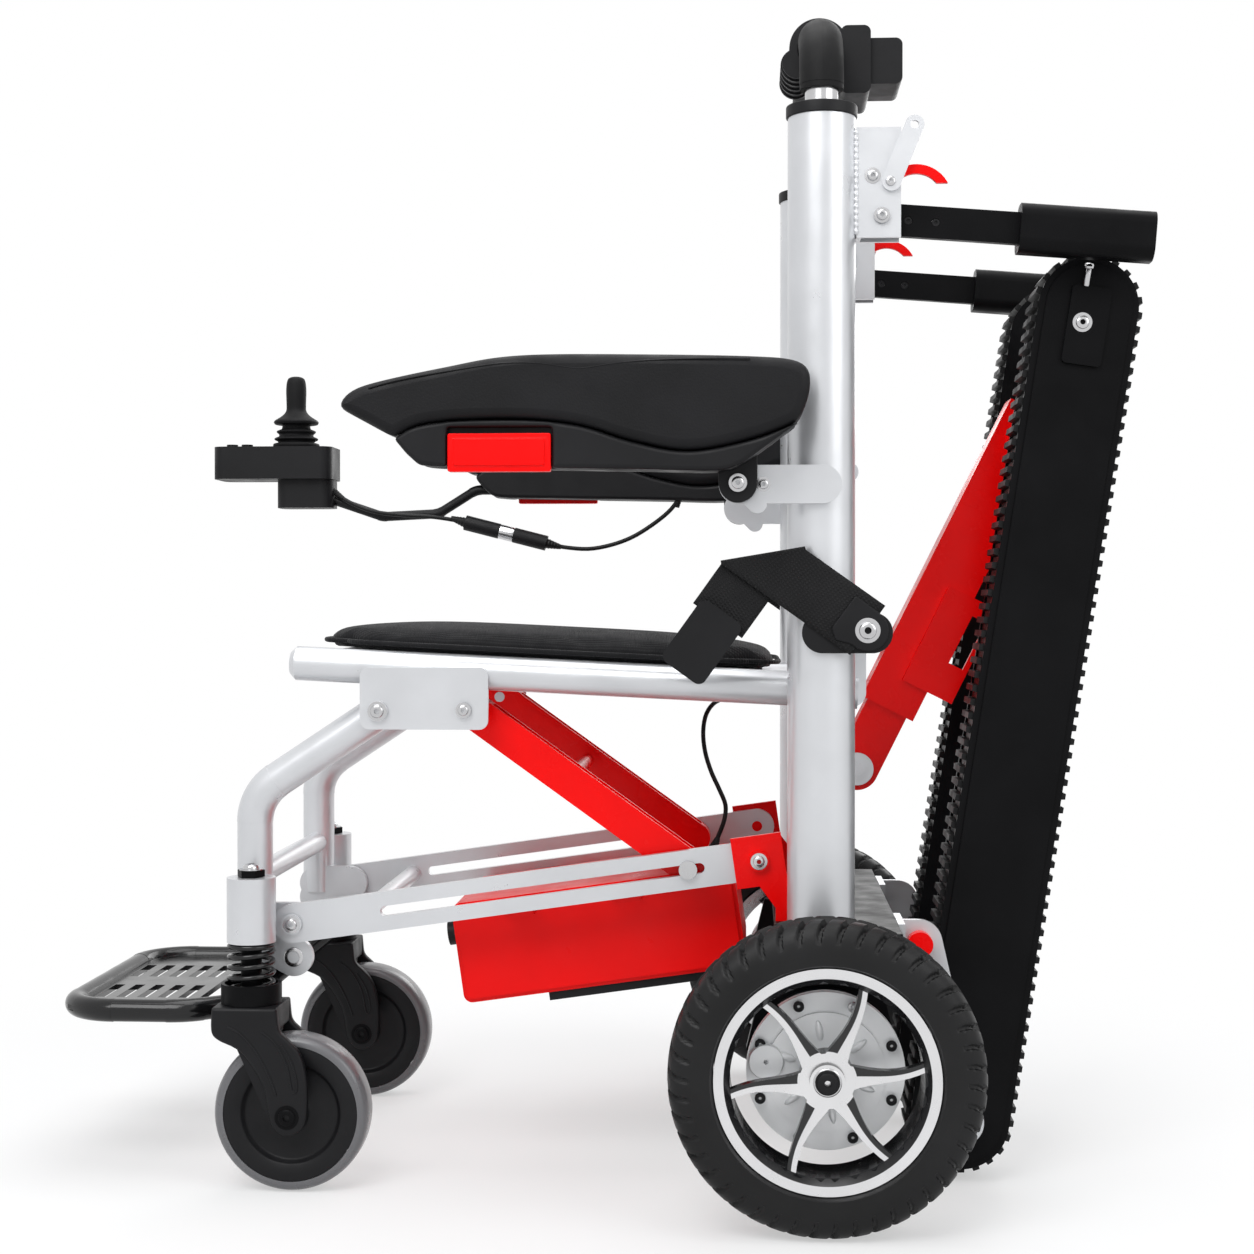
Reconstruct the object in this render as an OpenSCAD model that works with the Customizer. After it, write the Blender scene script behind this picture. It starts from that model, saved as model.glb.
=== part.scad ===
// Stair climbing wheelchair: folding seat and legs in front of two posts, powered wheels,
// and a pair of crawler tracks behind the back. Front is -X, the chair's left is -Y, floor is Z = 0.

/* [Rear wheels] */
// Outside diameter of the rear tyres
wheel_d = 254; // [230:1:270]
// Width of the rear tyres
tyre_w = 56; // [46:1:62]
// Distance between the centre planes of the rear wheels
wheel_span = 554; // [540:1:600]
// Number of spokes in each rear wheel
spoke_count = 6; // [5:1:8]

/* [Posts] */
// Outside diameter of the two posts
post_d = 57; // [50:0.5:58]
// Distance between the post centres
post_span = 360; // [356:1:372]
// Height of the top of the posts
post_top = 922; // [900:1:940]
// Height of the top of the push bar
handle_top = 1007; // [990:1:1030]

/* [Seat and legs] */
// Thickness of the seat cushion at its crown
cushion_t = 26; // [18:1:28]
// Diameter of the seat tubes
seat_tube_d = 30; // [24:1:30]
// Diameter of the front leg tubes
leg_tube_d = 31; // [26:1:31]
// Height of the flat side rails
rail_h = 34; // [28:1:34]
// Thickness of the flat side rails
rail_t = 8; // [5:0.5:8]

/* [Casters] */
// Diameter of the caster wheels
caster_d = 134; // [120:1:134]
// Width of the caster wheels
caster_w = 34; // [28:1:36]
// Wire diameter of the caster springs
spring_wire = 5; // [3:0.5:5]
// Coils in each caster spring
spring_turns = 5; // [4:1:5]

/* [Tracks] */
// Width of each crawler belt
belt_w = 50; // [40:1:52]
// Distance between the belt centre planes
belt_span = 184; // [178:1:190]
// Thickness of the belt without its lugs
belt_t = 5; // [4:0.5:6]
// Height of the belt lugs
lug_h = 6; // [4:0.5:6]
// Spacing of the belt lugs
lug_pitch = 12; // [9:0.5:16]

/* [Battery box] */
// Length of the battery box along the rails
box_l = 256; // [220:1:260]
// Width of the battery box
box_w = 190; // [150:1:196]
// Depth of the battery box
box_h = 90; // [70:1:92]

/* [Armrests] */
// Width of each armrest
arm_w = 46; // [40:1:50]
// Thickness of the red release paddles
paddle_t = 12; // [9:0.5:14]

/* [Hidden] */
$fn = 48;
// Overrun of every cut past the face that it opens
cut = 1;
// Running clearance between a pin and its bore
fit = 0.05;
// Clearance between parts that pass one another
gap = 0.4;
// Swelling of a tube's wall in its bends
bend_swell = 0.3;
// Trim of a flat bar's sides inside its round ends
bar_trim = 0.05;
// Share of a piece's thickness that a welded neighbour sinks in, for one solid
weld_share = 0.5;

// Pivots of the fold, as [x, z]: rails at the frame, rails at the legs, seat at the legs
rail_pivot = [147, 282];
leg_pivot = [-262, 223];
seat_leg_pivot = [-183, 411];
// The seat's rear pivot closes the parallelogram
seat_pivot = rail_pivot + seat_leg_pivot - leg_pivot;
// Upper pivot of the red struts on the seat, as [x, z]
strut_pivot = [-108, 412];
fold_pin_r = 5;
pin_head_r = 9;
pin_head_t = 4;

// Rear wheel and axle
wheel_r = wheel_d / 2;
wheel_x = 200;
wheel_y = wheel_span / 2;
axle_r = 9;
rim_lip_r = 90;
rim_lip_t = 8;
rim_barrel_t = 5;
rim_w_share = 0.84;
rim_w = tyre_w * rim_w_share;
rim_hub_r = 22;
rim_hub_l = 30;
spoke_w = 7.5;
spoke_t = 9;
spoke_inset = 6;
spoke_root_share = 0.8;
spoke_steps = 8;
hub_cap_r = 14;
hub_cap_t = 5;

// Gear motor behind each rear wheel
motor_r = 64;
motor_l = 66;
motor_cover_t = 10;
motor_disc_r = 48;
motor_disc_t = 3;
motor_bolt_r = 3.5;
motor_bolt_pcr = 57;
motor_bolts = 8;

// Posts
post_r = post_d / 2;
post_y = post_span / 2;
post_wall = 3;
post_x = 199;
collar_h = 10;
collar_lip = 1.5;
cross_tube_r = 9;
cross_tube_x = 222;
cross_tube_zs = [616, 795];
low_tube_r = 12;
low_tube_z = 352;
pivot_lug_t = 6;
pivot_lug_r = 15;

// Push bar, telescoping in the posts
bar_r = 14;
bar_drop = 260;
grip_r = 18.5;
bar_bend_r = 48;
grip_z = 936;

// Hand control clamped on the push bar
control_y = -118;
control_l = 76;
control_body = [26, 59];
control_head = [28, 40];
control_round = 6;
control_drop = 10;
control_nose_r = 13;
control_clamp_t = 7;
control_ridges = 5;
control_ridge_t = 3;

// Base beam between the posts, with the arms that carry the motors
beam = [104, 26];
beam_x = 214;
beam_z = 230;
hanger_t = 14;
hanger_w = 90;

// Shaft of the lower pulleys, on which the tracks swing, as [x, z]
track_pivot = [322, 54];
track_lean = 8.8;
track_len = 715;
track_shaft_r = 9;
belt_y = belt_span / 2;
belt_in_r = 36;
belt_out_r = belt_in_r + belt_t;
lug_root = 7;
lug_top = 5;
side_plate_t = 4;
plate_lip_share = 0.4;
side_plate_r = belt_out_r + belt_t * plate_lip_share;
core_gap = 0.5;
pulley_w_share = 0.92;
track_tubes_share = [0.16, 0.5, 0.97];
track_tube_r = 11;
top_bracket = [34, 68];
top_bracket_t = 4;
top_pin_r = 4;
carrier_t = 6;
carrier_r = 20;
carrier_foot = [64, 40];
knob_r = 11;
knob_t = 12;

// Red telescopic arm between the tracks: lower pivot as [x, z], slope and sizes
arm_pivot = [238, 352];
arm_slope = 63.6;
arm_reach = 333;
arm_in = [40, 34];
arm_in_l = 290;
arm_out = [52, 44];
arm_out_start = 62;
arm_out_over = 34;
arm_wall = 3;
arm_pin_r = 6;
arm_ear_t = 6;
arm_guide_l = 96;
arm_guide_drop = 50;
arm_guide_at = 92;
arm_guide_t = 5;
arm_roller_r = 13;
arm_window_share = [0.34, 0.5];

// Brackets behind the posts, with the rear lift bars, as [x, z]
bracket_rear_x = 265;
bracket_z = [811, 903];
bracket_t = 4;
bracket_in_y = 160;
bracket_out_y = 187;
bar_pivot = [249, 829];
bar_h = 27;
bar_t = 8;
bar_y = 169;
bar_slope = 4.5;
bar_len = 116;
lift_grip_l = 112;
bar_hole_shares = [0.2, 0.4];
lift_grip = [42, 34];
lift_grip_round = 12;
trigger_pivot = [256, 857];
trigger_t = 5;
trigger_pin_r = 3;
trigger_y = 178.5;
trigger_l = 44;
trigger_w = 8;
trigger_bow = 14;
latch_eye = [276, 904];
latch_r = 8;
latch_hole_r = 3.5;
bolt_t = 3;

// Red brackets that carry the rails' rear pivot
red_bracket = 44;
red_bracket_t = 5;
red_foot = [30, 26];

// Backrest pad between the posts
back_w = 288;
back_z = [602, 876];
back_t = 16;
back_crown = 5;

// Seat tubes, as [x, z] from the front end to the rear end
seat_y = 136;
seat_tube = [[-258, 452], [232, 428]];
seat_tube_r = seat_tube_d / 2;
seat_slope = atan((seat_tube[1][1] - seat_tube[0][1]) / (seat_tube[1][0] - seat_tube[0][0]));
side_plate = [112, 54];
side_plate_mid = [-143, 422];
side_plate_sink = 0.5;
side_plate_y = seat_y + seat_tube_r - side_plate_sink;
side_plate_th = 4;
side_plate_corner = 8;
seat_gusset_t = 6;
seat_gusset_r = 13;
pan_t = 6;
pan_x = [-225, 150];
cushion_x = [-248, 168];
cushion_w = 282;
cushion_edge = 12;
cushion_draw = 4;

// Side rails, in their own frame from the rear pivot towards the legs
rail_y = 135;
rail_vec = leg_pivot - rail_pivot;
rail_len = norm(rail_vec);
rail_angle = atan2(rail_vec[1], rail_vec[0]);
slot_h = 9;
slot_span = [52, 330];
slot_pin_at = 62;
slot_pin_r = 4.4;
slide_head_r = 8;
rail_tube_r = 8;
rail_tube_at = 350;
box_at = 24;
box_top = 8;
box_round = 8;
box_rib = 4;
box_tab = [26, 10];
box_tabs_at = [120, 215];
plug_r = 11;
plug_l = 12;
under_bar_l = 150;
under_bar_t = 8;
under_bar_at = 60;
foot_knob_r = 8;
foot_knob_l = 18;

// Red struts from the seat to the rails' slots
strut_y = 113;
strut_w = 24;
strut_h = 30;
strut_wall = 3;
strut_end = rail_pivot + slot_pin_at * rail_vec / rail_len;
strut_vec = strut_end - strut_pivot;
strut_len = norm(strut_vec);
strut_angle = atan2(strut_vec[1], strut_vec[0]);
strut_web_share = 0.45;
strut_web_r = 6;

// Front legs: tube axis as [x, z] from the seat down to its foot
leg_y = 134;
leg_r = leg_tube_d / 2;
leg_axis = [seat_leg_pivot, [-296, 336], [-296, 214]];
leg_bend_r = 44;
socket_x = -291;
socket_y = 169;
socket_r = 21;
socket_z = [212, 268];
leg_bracket_t = 7;
leg_bracket_y = 122;
leg_bracket_r = 17;
foot_pivot = [-263, 192];
leg_cross_r = 10;
leg_cross_z = 264;

// Caster: stem, spring seat, fork and wheel
caster_r = caster_d / 2;
caster_trail = 37;
caster_x = socket_x + caster_trail;
stem_r = 9;
stem_nut_r = 12;
stem_nut_t = 6;
cup_r = 26;
cup_z = [160, 177];
cup_floor = 8;
king_r = 8;
king_l = 30;
fork_top = cup_z[0] - gap;
fork_crown_r = 27;
fork_crown_h = 24;
fork_arm_t = 6;
fork_arm_gap = 3;
fork_eye_r = 16;
fork_groove_w = 5;
fork_groove_t = 1.5;
caster_axle_r = 5;
caster_tyre_t = 11;
caster_hub_boss_r = 15;
caster_recess_r = 42;
caster_recess_t = 7;
coil_r = 18.5;
coil_rings = 8;
coil_sides = 6;

// Footrest: a bent tube loop with a slotted plate
foot_z = 145;
foot_tube_r = 10;
foot_half = [107.5, 138];
foot_x = [-478, -358, -320];
foot_corner = 46;
foot_plate_t = 5;
foot_slot = [9, 60];
foot_slot_pitch = 19;
foot_slot_rows = 2;
foot_slot_count = 5;

// Armrests: outline as [x, z], hinge and paddle
arm_y = 221;
arm_tip = [-196, 664];
arm_top = [[-171, 683], [-48, 706], [176, 701]];
arm_heel = [187, 690];
arm_low = [[114, 611], [-130, 616]];
arm_seam = [[178, 650], [140, 636], [90, 627], [10, 640], [-70, 650], [-150, 640]];
arm_seam_gap = 0.6;
arm_hinge = [129, 603];
arm_hinge_r = 16;
arm_lug_t = 12;
hinge_plate_t = 6;
paddle_x = [-106, -22];
paddle_z = [611, 642];
paddle_slot = 0.3;
paddle_rib = 2.5;
pad_crown = 4;

// Joystick in front of the right armrest
stick_x = -343;
stick_y = 244;
joy_box = [126, 62, 34];
joy_box_x = -363;
joy_box_z = 636;
joy_foot = [60, 30];
joy_foot_x = -331;
joy_round = 12;
stick_r = 4;
stick_top = 745;
stick_knob_r = 10;
stick_knob_h = 34;
knob_z_shares = [0, 0.25, 0.55, 0.8, 1];
knob_r_shares = [0.4, 1, 0.62, 0.8, 0.5];
boot_z = [670.3, 706];
boot_r = [24, 9];
boot_folds = 4;
boot_fold_t = 3;
boot_wall_share = 0.6;
stick_pivot_z = 656;
gimbal_r = 11;
gimbal_t = 4;
trunnion_r = gimbal_t / 3;
joy_well_r = 16;
button_r = 6;
button_h = 4;
button_x = [-412, -396];
support_r = 5;
support_path = [[-312, 618], [-250, 597], [-190, 600], [-150, 625], [-105, 625]];
support_bend_r = 20;

// Cord routes, chosen by hand
cord_r = 2.2;
cord_sides = 8;
cord_front = [[-302, 238, 624], [-284, 234, 612], [-258, 232, 602], [-226, 232, 598], [-194, 232, 596],
    [-168, 232, 592], [-160, 232, 590]];
cord_rear = [[-74, 232, 568], [-56, 232, 564], [-30, 231, 562], [-6, 230, 566], [16, 230, 574],
    [36, 230, 586],
    [54, 230, 600], [64, 230, 612], [66, 230, 617]];
cord_seat = [[104, 70, 266], [110, 70, 281], [115, 70, 295], [116, 71, 309], [110, 73, 324], [102, 77, 341],
    [96, 83, 360], [94, 91, 379], [97, 101, 396], [106, 113, 407], [121, 127, 411], [140, 140, 412],
    [157, 148.5, 416], [172.4, 154.5, 420], [178.1, 160, 420]];
plug_body_r = 8;
plug_ring_r = 7;

// Lap belt: ends and fold of the strap's centre line as [x, z], and the distances of its two runs
strap_w = 50;
strap_t = 2;
strap_from = [236, 482];
strap_fold = [150, 543];
strap_to = [112, 490];
strap_ys = [213.4, 209.4];
anchor_w = 34;
anchor_t = 4;
anchor_x = 240;
anchor_z = 480;
buckle = [62, 42];
buckle_t = 14;
buckle_round = 7;
buckle_over = 22;

// Places shared by several pieces
post_in_y = post_y - post_r + gap;
arm_ear_y = arm_in[1] / 2 + gap;
motor_y = wheel_y - tyre_w / 2 - motor_l - gap;
panel_t = 2;
panel_bevel = 6;
carrier_y = belt_y + belt_w / 2 + side_plate_t + panel_t + 2 * gap;
track_in_y = belt_y - belt_w / 2 - gap - side_plate_t;
seat_gusset_y = 138;
seat_nose = 5;
pan_sink = 1;
leg_eye_trim = 1;
foot_eye_y = 107;
foot_eye_r = 13;
foot_head_t = 1.4;
foot_bead = 0.5;
foot_slot_in = 42;
cup_wall = 3;
fork_lean = 6;
caster_round = 8;
tyre_crown = 34;
tyre_square_share = 0.6;
spoke_bow = -4;
spoke_phase = -21;
spoke_flare_share = 1.7;
rim_hub_t = 22;
plug_share = 0.35;
plug_shares = [0.42, 0.18, 0.4];
paddle_travel = 5;
joy_foot_w = 40;

// Mirrors its children to the other side of the chair
module both() {
    children();
    mirror([0, 1, 0]) children();
}

// Lays a plane outline in [x, z] as a slab between two distances from the centre plane, on the left side
module slab(near, far) {
    translate([0, -near, 0]) rotate([90, 0, 0]) linear_extrude(far - near) children();
}

// Round bar across the chair on the left side, at [x, z], between two distances from the centre plane
module cross_rod(at, r, near, far) {
    translate([at[0], -near, at[1]]) rotate([90, 0, 0]) cylinder(r = r, h = far - near);
}

// Bar with round ends between two points of a plane
module bar2d(a, b, w) {
    d = b - a;
    translate(a) circle(w / 2);
    translate(b) circle(w / 2);
    translate(a) rotate(atan2(d[1], d[0])) translate([0, bar_trim - w / 2])
        square([norm(d), w - 2 * bar_trim]);
}

// Rectangle with round corners, centred on its point
module round_rect(size, r) {
    for (sx = [-1, 1], sy = [-1, 1]) {
        translate([sx * (size[0] / 2 - r), sy * (size[1] / 2 - r)]) circle(r);
    }
    square([size[0] - 2 * r, size[1]], center = true);
    square([size[0], size[1] - 2 * r], center = true);
}

function unit(v) = v / norm(v);
function turn_at(p, i) = let (a = unit(p[i] - p[i - 1]), b = unit(p[i + 1] - p[i]))
    atan2(a[0] * b[1] - a[1] * b[0], a * b);
function setback(p, i, bend) = i == 0 || i == len(p) - 1 ? 0 : bend * tan(abs(turn_at(p, i)) / 2);

// Bent tube along the points of a plane, with every corner rounded to the bend radius and swollen a little
module bent_tube(p, r, bend) {
    for (i = [0 : len(p) - 2]) {
        d = unit(p[i + 1] - p[i]);
        a = p[i] + d * (setback(p, i, bend) - (i > 0 ? cut : 0));
        b = p[i + 1] - d * (setback(p, i + 1, bend) - (i < len(p) - 2 ? cut : 0));
        translate(a) rotate([0, 90, atan2(d[1], d[0])]) cylinder(r = r, h = norm(b - a));
    }
    for (i = [1 : len(p) - 2]) {
        t = turn_at(p, i);
        d = unit(p[i] - p[i - 1]);
        s = t > 0 ? 1 : -1;
        a = p[i] - d * setback(p, i, bend);
        c = a + s * bend * [-d[1], d[0]];
        start = atan2(a[1] - c[1], a[0] - c[0]);
        translate(c) rotate(s > 0 ? start : start + t) rotate_extrude(angle = abs(t))
            translate([bend, 0]) circle(r + bend_swell);
    }
}

// Tube swept along points in space, closed at both ends
function sweep_dir(p, i) = unit(p[min(i + 1, len(p) - 1)] - p[max(i - 1, 0)]);
function sweep_side(d) = unit(cross(abs(d[2]) > abs(d[0]) ? [1, 0, 0] : [0, 0, 1], d));
function sweep_points(p, r, n) = [for (i = [0 : len(p) - 1]) let (d = sweep_dir(p, i), u = sweep_side(d),
    v = cross(d, u)) for (k = [0 : n - 1]) p[i] + r * (cos(360 * k / n) * u + sin(360 * k / n) * v)];
function sweep_faces(m, n) = concat(
    [for (i = [0 : m - 2], k = [0 : n - 1]) each [[i * n + k, (i + 1) * n + k, i * n + (k + 1) % n],
        [i * n + (k + 1) % n, (i + 1) * n + k, (i + 1) * n + (k + 1) % n]]],
    [for (k = [1 : n - 2]) each [[0, k, k + 1], [(m - 1) * n, (m - 1) * n + k + 1, (m - 1) * n + k]]]);
module swept(p, r, n) {
    polyhedron(sweep_points(p, r, n), sweep_faces(len(p), n));
}

// Soft pad with a crowned top and sides drawn in at the middle, centred on its base
function pad_ring(l, w, inset, z, n) = [for (side = [0 : 3], k = [0 : n - 1]) let (t = k / n - 0.5,
    q = [[t, -0.5], [0.5, t], [-t, 0.5], [-0.5, -t]][side])
        [q[0] * (l - 2 * inset), q[1] * (w - 2 * inset), z]];
module soft_pad(l, w, edge, crown, draw, n) {
    m = 4 * n;
    rings = n / 2;
    sides = concat(pad_ring(l, w, draw, 0, n), pad_ring(l, w, draw / 2, edge / 3, n),
        pad_ring(l, w, 0, edge, n));
    top = [for (j = [1 : rings - 1]) let (s = 1 - j / rings, h = edge + crown * (1 - pow(s, 3)))
        each [for (q = pad_ring(l, w, 0, h, n)) [q[0] * s, q[1] * s, h]]];
    pts = concat(sides, top, [[0, 0, edge + crown], [0, 0, 0]]);
    count = 2 + rings;
    polyhedron(pts, concat(
        [for (i = [0 : count - 2], k = [0 : m - 1]) each [[i * m + k, i * m + (k + 1) % m, (i + 1) * m + k],
            [i * m + (k + 1) % m, (i + 1) * m + (k + 1) % m, (i + 1) * m + k]]],
        [for (k = [0 : m - 1]) [(count - 1) * m + k, (count - 1) * m + (k + 1) % m, count * m]],
        [for (k = [0 : m - 1]) [(k + 1) % m, k, count * m + 1]]));
}

// Two posts with their cross tubes, the lugs for the seat's rear pivot and the ears for the track arm
module posts() {
    color("silver") {
        difference() {
            union() {
                both() {
                    translate([post_x, -post_y, beam_z])
                        cylinder(r = post_r, h = post_top - collar_h - beam_z);
                    slab(post_in_y, post_in_y + pivot_lug_t)
                        bar2d([post_x, seat_pivot[1]], seat_pivot, 2 * pivot_lug_r);
                    slab(arm_ear_y, arm_ear_y + arm_ear_t)
                        bar2d([post_x, low_tube_z], arm_pivot, 2 * pivot_lug_r);
                    for (z = cross_tube_zs) cross_rod([cross_tube_x, z], cross_tube_r, 0,
                        post_y - post_r * weld_share);
                    cross_rod([post_x, low_tube_z], low_tube_r, 0, post_y - post_r * weld_share);
                }
            }
            both() translate([post_x, -post_y, post_top - bar_drop - post_wall])
                cylinder(r = post_r - post_wall, h = bar_drop + post_wall);
        }
        both() {
            cross_rod(seat_pivot, fold_pin_r, seat_gusset_y - gap, post_in_y + pivot_lug_t + pin_head_t);
            cross_rod(arm_pivot, arm_pin_r, 0, arm_ear_y + arm_ear_t + pin_head_t);
        }
    }
}

module post_collars() {
    color("black") both() translate([post_x, -post_y, post_top - collar_h]) difference() {
        union() {
            cylinder(r = post_r + collar_lip, h = collar_h);
            translate([0, 0, -collar_h]) cylinder(r = post_r - post_wall - gap, h = collar_h);
        }
        translate([0, 0, -collar_h - cut]) cylinder(r = bar_r + fit, h = 2 * (collar_h + cut));
    }
}

// Beam under the posts, with a hanging plate for each gear motor
module base_beam() {
    color("dimgray") {
        translate([beam_x, 0, beam_z - beam[1] / 2])
            cube([beam[0], 2 * max(post_y + post_r, motor_y), beam[1]], center = true);
        both() slab(motor_y - hanger_t, motor_y - gap) difference() {
            polygon([[wheel_x - hanger_w / 2, beam_z - beam[1]], [wheel_x + hanger_w / 2, beam_z - beam[1]],
                [wheel_x + motor_r, wheel_r], [wheel_x + motor_r / 2, wheel_r - motor_r],
                [wheel_x - motor_r / 2, wheel_r - motor_r], [wheel_x - motor_r, wheel_r]]);
            translate([wheel_x, wheel_r]) circle(motor_r * weld_share);
        }
    }
}

module gear_motors() {
    color("gray") both() {
        cross_rod([wheel_x, wheel_r], motor_r - motor_cover_t, motor_y, motor_y + motor_l);
        cross_rod([wheel_x, wheel_r], axle_r, motor_y, wheel_y + rim_hub_l / 2);
    }
}

// Cast cover over each gear motor, seen between the spokes
module motor_covers() {
    near = motor_y + motor_l + gap;
    color("silver") both() difference() {
        union() {
            cross_rod([wheel_x, wheel_r], motor_r, near, near + motor_cover_t);
            cross_rod([wheel_x, wheel_r], motor_disc_r, near, near + motor_cover_t + motor_disc_t);
            for (i = [0 : motor_bolts - 1]) {
                a = 180 * (2 * i + 1) / motor_bolts;
                at = [wheel_x + motor_bolt_pcr * cos(a), wheel_r + motor_bolt_pcr * sin(a)];
                cross_rod(at, motor_bolt_r, near, near + motor_cover_t + motor_disc_t);
            }
        }
        cross_rod([wheel_x, wheel_r], axle_r + gap, near - cut, near + motor_cover_t + motor_disc_t + cut);
    }
}

// Plates behind the beam that carry the lower shaft of the tracks
module track_carriers() {
    top = [beam_x + beam[0] / 2 + carrier_r, beam_z - carrier_r];
    color("silver") {
        both() {
            slab(carrier_y, carrier_y + carrier_t) {
                bar2d(top, track_pivot, 2 * carrier_r);
                translate([beam_x + beam[0] / 2, beam_z - carrier_foot[1]])
                    square([carrier_r, carrier_foot[1]]);
            }
            translate([beam_x + beam[0] / 2, -carrier_y - carrier_foot[0] / 2, beam_z - beam[1]])
                cube([carrier_t, carrier_foot[0], beam[1]]);
        }
        both() cross_rod(track_pivot, track_shaft_r, 0, carrier_y + carrier_t + pin_head_t);
    }
}

// Red plates at the rails' rear pivot and the red knobs on the track carriers
module red_fittings() {
    near = rail_y + rail_t / 2 + gap;
    knob_at = [beam_x + beam[0] / 2 + carrier_r, beam_z - carrier_r];
    color("red") both() {
        slab(near, near + red_bracket_t) {
            translate(rail_pivot) rotate(rail_angle) square(red_bracket, center = true);
            translate([rail_pivot[0] + red_bracket / 2 - red_foot[0] / 4, beam_z]) square(red_foot);
            bar2d(rail_pivot, [rail_pivot[0] + red_bracket / 2 + red_foot[0] / 4,
                beam_z + red_foot[1] / 2], red_foot[1]);
        }
        cross_rod(rail_pivot, fold_pin_r, rail_y - rail_t / 2 - gap, near + red_bracket_t + pin_head_t);
        cross_rod(rail_pivot, pin_head_r, near + red_bracket_t, near + red_bracket_t + pin_head_t);
        cross_rod(knob_at, knob_r, carrier_y + carrier_t, carrier_y + carrier_t + knob_t);
    }
}

// Folded bracket behind each post, with the pins of its lift bar and trigger and a latch arm
module upper_brackets() {
    web_x = post_x + post_r + gap;
    color("silver") both() {
        for (y = [bracket_in_y, bracket_out_y - bracket_t]) slab(y, y + bracket_t)
            translate([web_x, bracket_z[0]]) square([bracket_rear_x - web_x, bracket_z[1] - bracket_z[0]]);
        slab(bracket_in_y, bracket_out_y)
            translate([web_x, bracket_z[0]]) square([bracket_t, bracket_z[1] - bracket_z[0]]);
        cross_rod(bar_pivot, fold_pin_r, bracket_in_y, bracket_out_y + bolt_t);
        cross_rod(trigger_pivot, trigger_pin_r, bar_y + bar_t / 2 + gap, bracket_out_y + bolt_t);
        slab(bracket_out_y, bracket_out_y + bracket_t) difference() {
            bar2d([bracket_rear_x - latch_r, trigger_pivot[1]], latch_eye, 2 * latch_r);
            translate(latch_eye) circle(latch_hole_r);
        }
    }
}

// Padded back between the posts, carried by the cross tubes
module backrest() {
    color("black") translate([cross_tube_x - cross_tube_r - gap, 0, (back_z[0] + back_z[1]) / 2])
        rotate([0, -90, 0]) soft_pad(back_z[1] - back_z[0], back_w, back_t, back_crown, cushion_draw, 12);
}

// Plate outside each post with the pin on which its armrest turns
module armrest_hinges() {
    near = post_y + post_r + gap;
    color("silver") both() {
        slab(near, near + hinge_plate_t) {
            bar2d(arm_hinge, [post_x, arm_hinge[1]], 2 * arm_hinge_r);
            bar2d(arm_hinge, [arm_hinge[0] + arm_hinge_r, arm_hinge[1] - arm_hinge_r], arm_hinge_r);
        }
        cross_rod(arm_hinge, fold_pin_r, near, arm_y + arm_lug_t + pin_head_t);
    }
}

// Webbing of the lap belt on each side: one run from the post, folded over to the other
strap_dirs = [unit(strap_fold - strap_from), unit(strap_to - strap_fold)];
fold_dir = unit(strap_dirs[0] + strap_dirs[1]);
function cross2(a, b) = a[0] * b[1] - a[1] * b[0];
function strap_edge(p, d, side) = p + side * strap_w / 2 * [-d[1], d[0]];
function fold_end(d, side) = let (q = strap_edge(strap_fold, d, side))
    q + d * cross2(strap_fold - q, fold_dir) / cross2(d, fold_dir);
module belt_straps() {
    mid = (strap_ys[0] + strap_ys[1] + strap_t) / 2;
    roll = fold_end(strap_dirs[0], 1) - fold_end(strap_dirs[0], -1);
    start = fold_end(strap_dirs[0], -1) - cut * unit(roll);
    color("black") both() {
        slab(strap_ys[0], strap_ys[0] + strap_t) polygon([strap_edge(strap_from, strap_dirs[0], -1),
            strap_edge(strap_from, strap_dirs[0], 1), fold_end(strap_dirs[0], 1),
                fold_end(strap_dirs[0], -1)]);
        slab(strap_ys[1], strap_ys[1] + strap_t) polygon([strap_edge(strap_to, strap_dirs[1], -1),
            strap_edge(strap_to, strap_dirs[1], 1), fold_end(strap_dirs[1], 1),
                fold_end(strap_dirs[1], -1)]);
        translate([start[0], -mid, start[1]]) rotate([0, 90 - atan2(roll[1], roll[0]), 0])
            cylinder(r = (strap_ys[0] - strap_ys[1] + strap_t) / 2 + bend_swell, h = norm(roll) + 2 * cut);
    }
}

// Anchor plates on the posts and the two halves of the buckle
module belt_hardware() {
    near = post_y + post_r + gap;
    mid = strap_ys[1] + strap_t / 2;
    color("black") both() {
        slab(near, near + anchor_t) bar2d([post_x, anchor_z], [anchor_x, anchor_z], anchor_w);
        slab(mid - buckle_t / 2, mid + buckle_t / 2) translate(strap_to + buckle_over * strap_dirs[1])
            rotate(atan2(strap_dirs[1][1], strap_dirs[1][0])) round_rect(buckle, buckle_round);
    }
}

// U-shaped push bar, whose legs slide in the posts
module push_bar() {
    foot = post_top - bar_drop;
    top = handle_top - grip_r;
    color("silver") translate([post_x, 0, 0]) rotate([90, 0, 90])
        bent_tube([[-post_y, foot], [-post_y, top], [post_y, top], [post_y, foot]], bar_r, bar_bend_r);
}

// Foam sleeve over the bend of the push bar
module handle_grip() {
    top = handle_top - grip_r;
    path = [[-post_y, grip_z], [-post_y, top], [post_y, top], [post_y, grip_z]];
    color("black") translate([post_x, 0, 0]) rotate([90, 0, 90]) difference() {
        bent_tube(path, grip_r, bar_bend_r);
        bent_tube([[-post_y, grip_z - cut], path[1], path[2], [post_y, grip_z - cut]], bar_r + gap,
            bar_bend_r);
    }
}

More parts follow.
